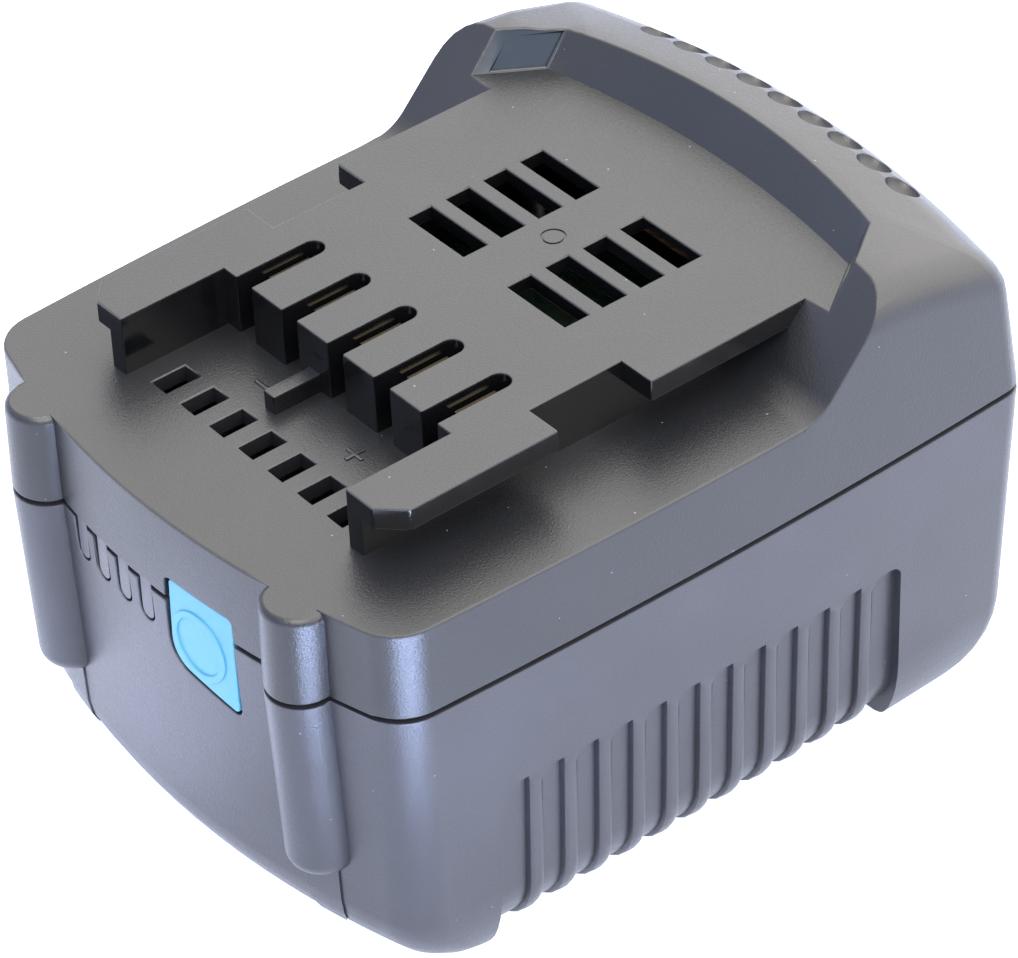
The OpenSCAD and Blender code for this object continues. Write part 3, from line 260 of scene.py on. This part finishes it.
def polished_nylon(name, base):
    """Glass-filled nylon that lay against polished steel: smooth and glossy, so that it mirrors
    what is
    near it, in a colour the caller gives: darkened as painted shade on the rails, tinted blue as a
    painted reflection on the patches."""
    flow_size = 4 * MM

    def paint(tree, coords):
        flow = grains(tree, coords, flow_size)
        return {
            "Base Color": tint(tree, between(tree, flow, 0, 1), shade(base, 0.8), shade(base, 1)),
            "Roughness": between(tree, flow, 0.1, 0.17),
            "IOR": 1.53,
        }

    return surface(name, paint)


def moulded_abs(name, base, rough):
    """Smooth moulded ABS in a strong colour: even and satin, with a faint orange-peel surface."""
    peel_size = 0.9 * MM
    peel_depth = 0.006 * MM
    cloud_size = 6 * MM

    def paint(tree, coords):
        peel = grains(tree, coords, peel_size)
        cloud = between(tree, grains(tree, coords, cloud_size), 0, 1)
        return {
            "Base Color": tint(tree, cloud, shade(base, 0.97), shade(base, 1.03)),
            "Roughness": between(tree, peel, rough - 0.04, rough + 0.05),
            "IOR": 1.53,
            "Normal": relief(tree, peel, peel_depth),
        }

    return surface(name, paint)


def smoked_polycarbonate(name, base):
    """Smoke-grey polycarbonate of a light guide: dark like the case but smoother, with faint flow
    lines."""
    flow_size = 3 * MM

    def paint(tree, coords):
        flow = grains(tree, coords, flow_size)
        cloud = between(tree, flow, 0, 1)
        return {
            "Base Color": tint(tree, cloud, shade(base, 0.93), shade(base, 1.07)),
            "Roughness": between(tree, flow, 0.26, 0.36),
            "IOR": 1.58,
        }

    return surface(name, paint)


def shrink_wrap(name, code):
    """PVC shrink wrap round a steel can: glossy and slightly rippled, with bare plated steel at
    both ends."""
    base = linear(code)
    steel = linear("#b9b9b4")
    edge = CELL_HALF - 0.45 * MM
    ripple_size = 4 * MM
    ripple_depth = 0.03 * MM

    def paint(tree, coords):
        along = node(tree, "ShaderNodeSeparateXYZ", {0: coords}).outputs["X"]
        away = node(tree, "ShaderNodeMath", {0: along}, operation="ABSOLUTE").outputs[0]
        end = node(tree, "ShaderNodeMath", {0: away, 1: edge}, operation="GREATER_THAN").outputs[0]
        ripple = grains(tree, coords, ripple_size)
        wrap = tint(tree, between(tree, ripple, 0, 1), shade(base, 0.85), base)
        return {
            "Base Color": tint(tree, end, wrap, steel),
            "Metallic": end,
            "Roughness": between(tree, ripple, 0.22, 0.34),
            "Normal": relief(tree, ripple, ripple_depth),
        }

    return surface(name, paint)


def rolled_metal(name, code, rough, along):
    """Rolled or stamped sheet metal: bright, with fine straight lines from the rolls along one
    axis."""
    base = linear(code)
    line_size = 0.12 * MM
    line_depth = 0.004 * MM
    line_stretch = 40
    scale = [1 / line_size if i != along else 1 / (line_stretch * line_size) for i in range(3)]

    def paint(tree, coords):
        lines = streaks(tree, coords, scale, 2.0)
        return {
            "Base Color": tint(tree, between(tree, lines, 0, 1), shade(base, 0.8), base),
            "Metallic": 1.0,
            "Roughness": between(tree, lines, rough - 0.06, rough + 0.08),
            "Normal": relief(tree, lines, line_depth),
        }

    return surface(name, paint)


def insulating_paper(name, code):
    """Vulcanised fibre sheet: a dry cream paper with short fibres."""
    base = linear(code)
    fibre_scale = (2500.0, 350.0, 1400.0)
    fibre_depth = 0.02 * MM

    def paint(tree, coords):
        fibre = streaks(tree, coords, fibre_scale, 4.0)
        return {
            "Base Color": tint(tree, between(tree, fibre, 0, 1), shade(base, 0.78), base),
            "Roughness": between(tree, fibre, 0.82, 0.95),
            "Normal": relief(tree, fibre, fibre_depth),
        }

    return surface(name, paint)


def solder_mask(name, code):
    """Glass-fibre board under green solder mask: glossy, with copper tracks that show through as
    paler bands."""
    base = linear(code)
    track_size = 3.1 * MM
    track_depth = 0.03 * MM
    gloss_size = 1.2 * MM
    white, pale, black = ((v, v, v, 1.0) for v in (1.0, 0.8, 0.0))

    def paint(tree, coords):
        bands = node(tree, "ShaderNodeTexBrick", {
            "Vector": coords, "Scale": 1 / track_size, "Brick Width": 1.7, "Row Height": 0.45,
            "Mortar Size": 0.16, "Mortar Smooth": 0.05,
            "Color1": white, "Color2": pale, "Mortar": black,
        }).outputs["Color"]
        return {
            "Base Color": tint(tree, bands, base, shade(base, 1.7)),
            "Roughness": between(tree, grains(tree, coords, gloss_size), 0.25, 0.38),
            "IOR": 1.5,
            "Normal": relief(tree, bands, track_depth),
        }

    return surface(name, paint)


def moulded_epoxy(name, code, rough):
    """Epoxy or thermoset moulding: matt and finely speckled."""
    base = linear(code)
    speckle_size = 0.25 * MM
    speckle_depth = 0.008 * MM

    def paint(tree, coords):
        speckle = grains(tree, coords, speckle_size, detail=3.0)
        return {
            "Base Color": tint(tree, between(tree, speckle, 0, 1), base, shade(base, 1.3)),
            "Roughness": between(tree, speckle, rough - 0.05, rough + 0.08),
            "Normal": relief(tree, speckle, speckle_depth),
        }

    return surface(name, paint)


def light_table(name):
    """Matt white acrylic of a light table: even and lit from below, with a trace of grain."""
    grain_size = 3 * MM

    def paint(tree, coords):
        grain = grains(tree, coords, grain_size)
        return {
            "Base Color": tint(tree, grain, linear("#a8afc2"), linear("#acb3c6")),
            "Roughness": between(tree, grain, 0.85, 0.95),
            "Emission Color": linear("#dfe6f8"),
            "Emission Strength": 1.1,
        }

    return surface(name, paint)


def merged_copy(cad_node, name):
    """A new object with the node's mesh, its loose triangles joined and its flat faces cleared of
    seams."""
    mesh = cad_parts[cad_node].data.copy()
    mesh.name = name
    mesh.materials.clear()
    shape = bmesh.new()
    shape.from_mesh(mesh)
    bmesh.ops.remove_doubles(shape, verts=shape.verts, dist=MERGE)
    bmesh.ops.dissolve_degenerate(shape, dist=MERGE, edges=shape.edges)
    bmesh.ops.dissolve_limit(shape, angle_limit=FLAT, verts=shape.verts, edges=shape.edges)
    for face in shape.faces:
        face.smooth = True
    shape.to_mesh(mesh)
    shape.free()
    for shading in ("custom_normal", "sharp_edge", "sharp_face"):
        old = mesh.attributes.get(shading)
        if old:
            mesh.attributes.remove(old)
    return linked(name, mesh)


def baked(piece):
    """Turns the piece's modifiers into plain mesh."""
    graph = bpy.context.evaluated_depsgraph_get()
    mesh = bpy.data.meshes.new_from_object(piece.evaluated_get(graph), depsgraph=graph)
    piece.modifiers.clear()
    piece.data = mesh
    return piece


def round_edges(piece, radius_at):
    """Rounds each sharp outer edge by the radius in metres that radius_at gives for its middle."""
    shape = bmesh.new()
    shape.from_mesh(piece.data)
    weights = shape.edges.layers.float.new("bevel_weight_edge")

    def is_sharp(e):
        return e.calc_face_angle(0) > CREASE

    def wanted(e):
        return radius_at((e.verts[0].co + e.verts[1].co) / 2) if e.is_convex else 0

    # A wide rounding fades out over a short way at the ends of a long edge
    for e in [e for e in shape.edges if is_sharp(e)]:
        if wanted(e) > WIDE and e.calc_length() > 3 * FADE:
            for end in list(e.verts):
                beside = (n for n in end.link_edges if is_sharp(n))
                longest = max(beside, key=lambda n: n.calc_length())
                bmesh.utils.edge_split(longest, end, FADE / longest.calc_length())
    sharp = {e for e in shape.edges if is_sharp(e)}
    radii = {}
    for e in sharp:
        radius = wanted(e)
        # Short neighbours leave room for a finer rounding only, or for none
        neighbours = (n for v in e.verts for n in v.link_edges if n not in sharp)
        room = min((n.calc_length() for n in neighbours), default=1)
        if room < ROOM_SHARE * radius:
            radius = room / (2 * ROOM_SHARE)
        if radius > FINEST:
            radii[e] = radius
    widest = max(radii.values())
    for e, radius in radii.items():
        e[weights] = radius / widest
    shape.to_mesh(piece.data)
    shape.free()
    bevel = piece.modifiers.new("edge rounding", "BEVEL")
    bevel.limit_method = "WEIGHT"
    bevel.width = widest
    bevel.segments = 2
    bevel.use_clamp_overlap = False
    bevel.miter_outer = "MITER_ARC"
    bevel.loop_slide = False
    baked(piece)
    piece.data.set_sharp_from_angle(angle=KEEP)
    smooth = piece.modifiers.new("even shading", "WEIGHTED_NORMAL")
    smooth.mode = "FACE_AREA_WITH_ANGLE"
    smooth.weight = 60
    smooth.keep_sharp = True
    baked(piece)


def beads(name, points, radius, stretch, steps, material):
    """A ball, stretched along the axes, on each of the points, all joined into one plain mesh."""
    tree = bpy.data.node_groups.new(name, "GeometryNodeTree")
    tree.interface.new_socket("Geometry", in_out="INPUT", socket_type="NodeSocketGeometry")
    size = tree.interface.new_socket("Radius", in_out="INPUT", socket_type="NodeSocketFloat")
    tree.interface.new_socket("Geometry", in_out="OUTPUT", socket_type="NodeSocketGeometry")
    given = node(tree, "NodeGroupInput")
    ball = node(tree, "GeometryNodeMeshUVSphere", {
        "Segments": 2 * steps, "Rings": steps, "Radius": given.outputs["Radius"],
    })
    spread = node(tree, "GeometryNodeInstanceOnPoints", {
        "Points": given.outputs["Geometry"], "Instance": ball.outputs["Mesh"], "Scale": stretch,
    })
    real = node(tree, "GeometryNodeRealizeInstances", {0: spread.outputs[0]})
    finished = node(tree, "GeometryNodeSetMaterial", {
        "Geometry": real.outputs[0], "Material": material,
    })
    node(tree, "NodeGroupOutput", {0: finished.outputs[0]})
    mesh = bpy.data.meshes.new(name)
    mesh.from_pydata(points, [], [])
    piece = linked(name, mesh)
    maker = piece.modifiers.new(name, "NODES")
    maker.node_group = tree
    maker[size.identifier] = radius
    return baked(piece)


def deepen_scoops(piece, radius, depth):
    """Cuts a ball into each finger scoop, so that its far wall stands up and falls into shade."""
    mesh = piece.data
    skin = BVHTree.FromPolygons(
        [v.co for v in mesh.vertices], [list(f.vertices) for f in mesh.polygons])
    lean = Vector((0, math.sin(SCOOP_TILT), math.cos(SCOOP_TILT)))
    points = []
    for i in range(SCOOP_COUNT):
        x = (i - (SCOOP_COUNT - 1) / 2) * SCOOP_PITCH
        above = Vector((x, SCOOP_MIDDLE - x * x / REAR_BEND, ABOVE_ALL))
        hit = skin.ray_cast(above, Vector((0, 0, -1)))[0]
        if hit is None:
            raise RuntimeError("No hump under a finger scoop")
        points.append(hit + Vector((0, 0, SCOOP_SINK)) + (radius - depth) * lean)
    cutter = beads(
        "scoop_balls", points, radius,
        stretch=(1.0, 1.0, 1.0), steps=24, material=mesh.materials[0])
    cut = piece.modifiers.new("scoops", "BOOLEAN")
    cut.operation = "DIFFERENCE"
    cut.solver = "EXACT"
    cut.object = cutter
    baked(piece).data.shade_smooth()
    bpy.data.objects.remove(cutter)


def polish(piece, finish, chosen):
    """Gives another finish to the faces that chosen(middle, normal) picks."""
    piece.data.materials.append(finish)
    for face in piece.data.polygons:
        if chosen(face.center, face.normal):
            face.material_index = len(piece.data.materials) - 1


def seat(piece, body, slot, *cad_nodes):
    """The piece rides on a body and stands for these nodes; its slot is not used."""
    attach(piece, body)
    if cad_nodes:
        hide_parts(*cad_nodes)


def dress(material, *cad_nodes):
    """Gives a finish to nodes that keep their own mesh."""
    for name in cad_nodes:
        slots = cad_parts[name].data.materials
        slots.clear()
        slots.append(material)


def colour_setting(name, description, code):
    """A colour that the panel shows."""
    return bpy.props.FloatVectorProperty(
        name=name, description=description, subtype="COLOR", default=linear(code)[:3])


def length_setting(name, description, length):
    """A length in metres that the panel shows."""
    return bpy.props.FloatProperty(
        name=name, description=description, unit="LENGTH", default=length)


def angle_setting(name, description, degrees):
    """An angle that the panel shows."""
    return bpy.props.FloatProperty(
        name=name, description=description, subtype="ANGLE", default=math.radians(degrees))


class PackLooks(bpy.types.PropertyGroup):
    """Sizes and colours of the pack's finish."""

    cover_colour: colour_setting("Cover", "Colour of the moulded cover", "#151619")
    housing_colour: colour_setting("Housing", "Colour of the lower housing", "#26272d")
    # The patches' colour is tinted blue as a painted reflection
    patch_painted_reflection_colour: colour_setting("Patches", "Colour of the smooth patches", "#1d2833")
    button_colour: colour_setting("Button", "Colour of the test button", "#4186a0")
    guide_colour: colour_setting("Light guide", "Colour of the gauge windows", "#2f2f35")
    edge_radius: length_setting("Edge radius", "Rounding of the fine moulded edges", 0.25 * MM)
    shoulder_radius: length_setting("Shoulder radius", "Rounding round the shoulder", 0.4 * MM)
    fin_radius: length_setting("Fin radius", "Rounding of the grip fins", 0.7 * MM)
    scoop_radius: length_setting("Scoop radius", "Radius of a finger scoop", 2.45 * MM)
    scoop_depth: length_setting("Scoop depth", "Depth of a finger scoop", 2.0 * MM)
    weld_radius: length_setting("Weld radius", "Radius of a spot weld on the links", 0.7 * MM)


class PackStage(bpy.types.PropertyGroup):
    """Camera and floor round the pack."""

    azimuth: angle_setting("Azimuth", "Turn of the camera round the pack", 52.727)
    elevation: angle_setting("Elevation", "Height of the camera as an angle", 38.294)
    roll: angle_setting("Roll", "Tilt of the camera about its own axis", -3.009)
    place: bpy.props.FloatVectorProperty(
        name="Camera place", description="Where the camera stands", subtype="TRANSLATION",
        default=(418.16 * MM, -317.365 * MM, 446.73 * MM))
    lens: bpy.props.FloatProperty(
        name="Lens", description="Focal length of the camera in millimetres", default=193.24)
    floor_size: length_setting("Floor", "Side of the pale floor", 4.0)


def case_radius(looks):
    """Rounding of the case's edges by place: wide on the shoulder and the fins, none inside and
    round the finned field and the scoops, fine elsewhere."""
    low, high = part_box("lower_housing")

    def radius_at(p):
        inside = (abs(p.x) < high.x - CASE_WALL
                  and low.y + CASE_WALL < p.y < high.y - CASE_WALL)
        if inside and INNER_LOW < p.z < INNER_HIGH:
            return 0.0
        scoops_begin = SCOOP_FRONT - p.x * p.x / REAR_BEND
        if p.z > SHOULDER_Z + SLACK and abs(p.x) < SCOOP_HALF and p.y > scoops_begin:
            return 0.0
        front, rear = FIN_ENDS
        if not inside and p.z < FIN_TOP + SLACK and front - SLACK < p.y < rear + SLACK:
            among_fins = p.z < FIN_TOP - SLACK and front + SLACK < p.y < rear - SLACK
            return looks.fin_radius if among_fins else 0.0
        on_shoulder = abs(p.z - SHOULDER_Z) < SHOULDER_SLACK
        outside_rails = abs(p.x) > RAIL_HALF + RAIL_BESIDE or p.y < RAIL_FRONT - RAIL_BEFORE
        if on_shoulder and outside_rails:
            return looks.shoulder_radius
        return looks.edge_radius

    return radius_at


def on_rail_side_with_painted_shade(p, normal):
    """True on the upright faces of rails, teeth and slots, which get a glossy finish with painted
    shade.
    """
    across = abs(p.x) < RAIL_HALF + RAIL_SLACK
    along = RAIL_FRONT - RAIL_SLACK < p.y < RAMP_FRONT - SLACK
    return abs(normal.z) < UPRIGHT and across and along and p.z > SHOULDER_Z - RAIL_FOOT


def on_patch_with_painted_reflection(p, normal):
    """True on the two patches in the pocket, which get a glossy finish tinted blue as a painted
    reflection.
    """
    turn = Vector((math.copysign(PATCH_TURN[0], -p.x), *PATCH_TURN[1:])).normalized()
    in_pocket = PATCH_X[0] < abs(p.x) < PATCH_X[1] and PATCH_Y[0] < p.y < PATCH_Y[1]
    sunk = normal.dot(turn) > FACING and p.dot(turn) < PATCH_PLANE
    return in_pocket and p.z > SHOULDER_Z and sunk


class PACK_OT_case(bpy.types.Operator):
    """Moulded lower housing and cover with rounded edges"""

    bl_idname = "battery_pack.case"
    bl_label = "Case"

    def execute(self, context):
        looks = context.scene.pack_looks
        lower = merged_copy("lower_housing", "case_lower")
        cover = merged_copy("top_cover", "case_cover")
        for piece, base in ((lower, looks.housing_colour), (cover, looks.cover_colour)):
            piece.data.materials.append(moulded_nylon(
                f"glass filled nylon, spark eroded, {piece.name}", base,
                rough=0.33, grain=0.3 * MM, depth=0.04 * MM))
        deepen_scoops(cover, looks.scoop_radius, looks.scoop_depth)
        for piece, cad_node in ((lower, "lower_housing"), (cover, "top_cover")):
            round_edges(piece, case_radius(looks))
            seat(piece, "pack", "case_plastic", cad_node)
        # Painted shade: the upright faces of rails, teeth and slots take the cover colour darkened
        # to 0.4, under a glossy finish
        rails = polished_nylon("glass filled nylon, polished", shade(looks.cover_colour, 0.4))
        polish(cover, rails, on_rail_side_with_painted_shade)
        # Painted reflection: the patches get a blue-tinted colour under a glossy finish
        patches = polished_nylon("glass filled nylon, polished patch", looks.patch_painted_reflection_colour)
        polish(cover, patches, on_patch_with_painted_reflection)
        return {"FINISHED"}


class PACK_OT_button(bpy.types.Operator):
    """Test button that slides in the front wall"""

    bl_idname = "battery_pack.button"
    bl_label = "Test button"

    def execute(self, context):
        looks = context.scene.pack_looks
        piece = merged_copy("test_button", "button_cap")
        piece.data.materials.append(
            moulded_abs("light blue ABS, satin moulded", looks.button_colour, rough=0.45))
        round_edges(piece, lambda p: BUTTON_EDGE)
        seat(piece, "button", "button_plastic", "test_button")
        return {"FINISHED"}


class PACK_OT_light_guide(bpy.types.Operator):
    """Light guide with its tongues in the front wall"""

    bl_idname = "battery_pack.light_guide"
    bl_label = "Light guide"

    def execute(self, context):
        looks = context.scene.pack_looks
        piece = merged_copy("light_guide", "gauge_light_guide")
        piece.data.materials.append(
            smoked_polycarbonate("smoked polycarbonate, moulded", looks.guide_colour))
        round_edges(piece, lambda p: GUIDE_EDGE)
        seat(piece, "pack", "guide_plastic", "light_guide")
        return {"FINISHED"}


class PACK_OT_cells(bpy.types.Operator):
    """Wrapped cells, their spacer, carrier and insulating sheets"""

    bl_idname = "battery_pack.cells"
    bl_label = "Cells"

    def execute(self, context):
        wrap = shrink_wrap("PVC shrink wrap", "#2c7f88")
        dress(wrap, *(f"cell_{i + 1}" for i in range(CELL_COUNT)))
        black = moulded_nylon(
            "black nylon, moulded", linear("#1d1d20"),
            rough=0.5, grain=0.5 * MM, depth=0.01 * MM)
        dress(black, "cell_spacer", "cell_carrier")
        paper = insulating_paper("vulcanised fibre", "#cfc9b0")
        dress(paper, "insulator_left", "insulator_right")
        return {"FINISHED"}


class PACK_OT_links(bpy.types.Operator):
    """Nickel links with four spot welds on every cell end"""

    bl_idname = "battery_pack.links"
    bl_label = "Links"

    def execute(self, context):
        looks = context.scene.pack_looks
        nickel = rolled_metal("nickel strip", "#c4c1b6", rough=0.3, along=2)
        dress(nickel, *(f"link_{side}_{i}" for side in ("left", "right") for i in (1, 2, 3)))
        faces = (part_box("link_left_1")[0].x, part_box("link_right_1")[1].x)
        points = []
        for i in range(CELL_COUNT):
            low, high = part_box(f"cell_{i + 1}")
            middle = (low + high) / 2
            for face in faces:
                points += [
                    (face, middle.y + dy * WELD_ACROSS, middle.z + dz * WELD_ACROSS)
                    for dy in (-1, 1) for dz in (-1, 1)
                ]
        spots = beads(
            "weld_spots", points, looks.weld_radius,
            stretch=(0.16, 1.0, 1.0), steps=6, material=nickel)
        seat(spots, "pack", "link_nickel")
        return {"FINISHED"}


class PACK_OT_boards(bpy.types.Operator):
    """Circuit boards, contacts and the small parts on them"""

    bl_idname = "battery_pack.boards"
    bl_label = "Boards and contacts"

    def execute(self, context):
        # The boards are dark green solder mask, darkened almost to black as painted shade inside
        # the vents
        dress(solder_mask("dark green solder mask", "#07140e"), "circuit_board", "gauge_board")
        brass = rolled_metal("plated brass, stamped", "#94846a", rough=0.2, along=1)
        dress(brass, *(f"contact_{i + 1}" for i in range(CONTACT_COUNT)))
        tinned = rolled_metal("tinned shunt", "#a5a5a8", rough=0.34, along=1)
        dress(tinned, "current_shunt")
        zinc = rolled_metal("zinc plated steel", "#a9a9ae", rough=0.32, along=0)
        dress(zinc, "board_screws")
        for name, code, rough, cad_nodes in (
            ("black thermoset", "#16161a", 0.5, ("contact_block", "test_switch")),
            ("epoxy chip package", "#232327", 0.6, ("power_transistors", "control_chip")),
            ("fired ceramic", "#94714a", 0.45, ("capacitors",)),
            ("dipped resin", "#64311f", 0.3, ("thermistor",)),
            ("milky light resin", "#e6e3d2", 0.25, ("gauge_leds",)),
            ("cream plunger plastic", "#dcd7c8", 0.4, ("switch_plunger",)),
        ):
            dress(moulded_epoxy(name, code, rough), *cad_nodes)
        return {"FINISHED"}


def pale_floor(side):
    """Square floor under the pack."""
    half = side / 2
    corners = [(-half, -half, 0), (half, -half, 0), (half, half, 0), (-half, half, 0)]
    mesh = bpy.data.meshes.new("floor")
    mesh.from_pydata(corners, [], [(0, 1, 2, 3)])
    mesh.materials.append(light_table("opal acrylic, matt"))
    return linked("floor", mesh)


def soft_studio():
    """World whose light is strongest above and behind the pack."""
    world = bpy.data.worlds.new("soft studio")
    world.use_nodes = True
    tree = world.node_tree
    tree.nodes.clear()
    ahead = node(tree, "ShaderNodeTexCoord").outputs["Generated"]
    strongest = Vector((0.25, 0.6, 0.75)).normalized()
    share = node(tree, "ShaderNodeVectorMath", {
        0: ahead, 1: strongest,
    }, operation="DOT_PRODUCT").outputs["Value"]
    power = between(tree, share, 1.8, 5.1, 0.2, 0.9)
    warmth = between(tree, share, 0, 1, -0.4, 0.5)
    hue = tint(tree, warmth, linear("#c6d6ff"), linear("#fffcf9"))
    glow = node(tree, "ShaderNodeBackground", {"Color": hue, "Strength": power})
    node(tree, "ShaderNodeOutputWorld", {"Surface": glow.outputs[0]})
    return world


def soft_light(name, place, aim, size, power, code):
    """Square soft box that faces a point."""
    data = bpy.data.lights.new(name, "AREA")
    data.size = size
    data.energy = power
    data.color = linear(code)[:3]
    made = linked(name, data)
    made.location = place
    made.rotation_euler = (Vector(aim) - Vector(place)).to_track_quat("-Z", "Y").to_euler()


def glow_spot(name, x, y, radius, power, code):
    """Lamp that shines straight down and brightens a round patch of the floor."""
    data = bpy.data.lights.new(name, "SPOT")
    data.energy = power
    data.color = linear(code)[:3]
    data.spot_size = 2 * math.atan(radius / LAMP_HEIGHT)
    data.spot_blend = 0.6
    data.shadow_soft_size = 5 * MM
    linked(name, data).location = (x, y, LAMP_HEIGHT)


def photo_camera(stage):
    """Camera that looks at the pack as the stage's settings say."""
    view = bpy.data.cameras.new("camera")
    view.sensor_width = 36
    view.lens = stage.lens
    view.clip_start = 0.05
    view.clip_end = 20
    a, e = stage.azimuth, stage.elevation
    back = Vector((math.sin(a) * math.cos(e), -math.cos(a) * math.cos(e), math.sin(e)))
    turn = back.to_track_quat("Z", "Y").to_matrix() @ Matrix.Rotation(stage.roll, 3, "Z")
    camera = linked("camera", view)
    camera.matrix_world = Matrix.Translation(Vector(stage.place)) @ turn.to_4x4()
    return camera


class PACK_OT_stage(bpy.types.Operator):
    """Pale floor, soft light and the camera"""

    bl_idname = "battery_pack.stage"
    bl_label = "Stage"

    def execute(self, context):
        scene = context.scene
        scene.view_settings.view_transform = "Standard"
        floor = pale_floor(scene.pack_stage.floor_size)
        scene.world = soft_studio()
        soft_light(
            "fill box", place=(0.7, -0.6, 1.1), aim=(0, 0, 35 * MM),
            size=0.9, power=14.0, code="#fffaf4")
        glow_spot("right glow", 120 * MM, -75 * MM, radius=50 * MM, power=570.0, code="#d2e2ff")
        glow_spot("front glow", -25 * MM, -76 * MM, radius=28 * MM, power=28.0, code="#e6e9ff")
        scene.camera = photo_camera(scene.pack_stage)
        return {"FINISHED"}


BUILDERS = (
    PACK_OT_stage, PACK_OT_case, PACK_OT_button, PACK_OT_light_guide, PACK_OT_cells,
    PACK_OT_links, PACK_OT_boards,
)


class PACK_PT_panel(bpy.types.Panel):
    """Lists the pieces that can be built"""

    bl_idname = "PACK_PT_panel"
    bl_label = "Battery pack"
    bl_space_type = "VIEW_3D"
    bl_region_type = "UI"
    bl_category = "Battery pack"

    def draw(self, context):
        for group in (context.scene.pack_looks, context.scene.pack_stage):
            for name in group.__annotations__:
                self.layout.prop(group, name)
        for builder in BUILDERS:
            self.layout.operator(builder.bl_idname)


CLASSES = (PackLooks, PackStage, *BUILDERS, PACK_PT_panel)


def register():
    for one in CLASSES:
        bpy.utils.register_class(one)
    bpy.types.Scene.pack_looks = bpy.props.PointerProperty(type=PackLooks)
    bpy.types.Scene.pack_stage = bpy.props.PointerProperty(type=PackStage)


def unregister():
    del bpy.types.Scene.pack_stage
    del bpy.types.Scene.pack_looks
    for one in reversed(CLASSES):
        bpy.utils.unregister_class(one)


def main():
    register()
    bpy.ops.battery_pack.stage()
    bpy.ops.battery_pack.case()
    bpy.ops.battery_pack.button()
    bpy.ops.battery_pack.light_guide()
    bpy.ops.battery_pack.cells()
    bpy.ops.battery_pack.links()
    bpy.ops.battery_pack.boards()


if __name__ == "__main__":
    main()
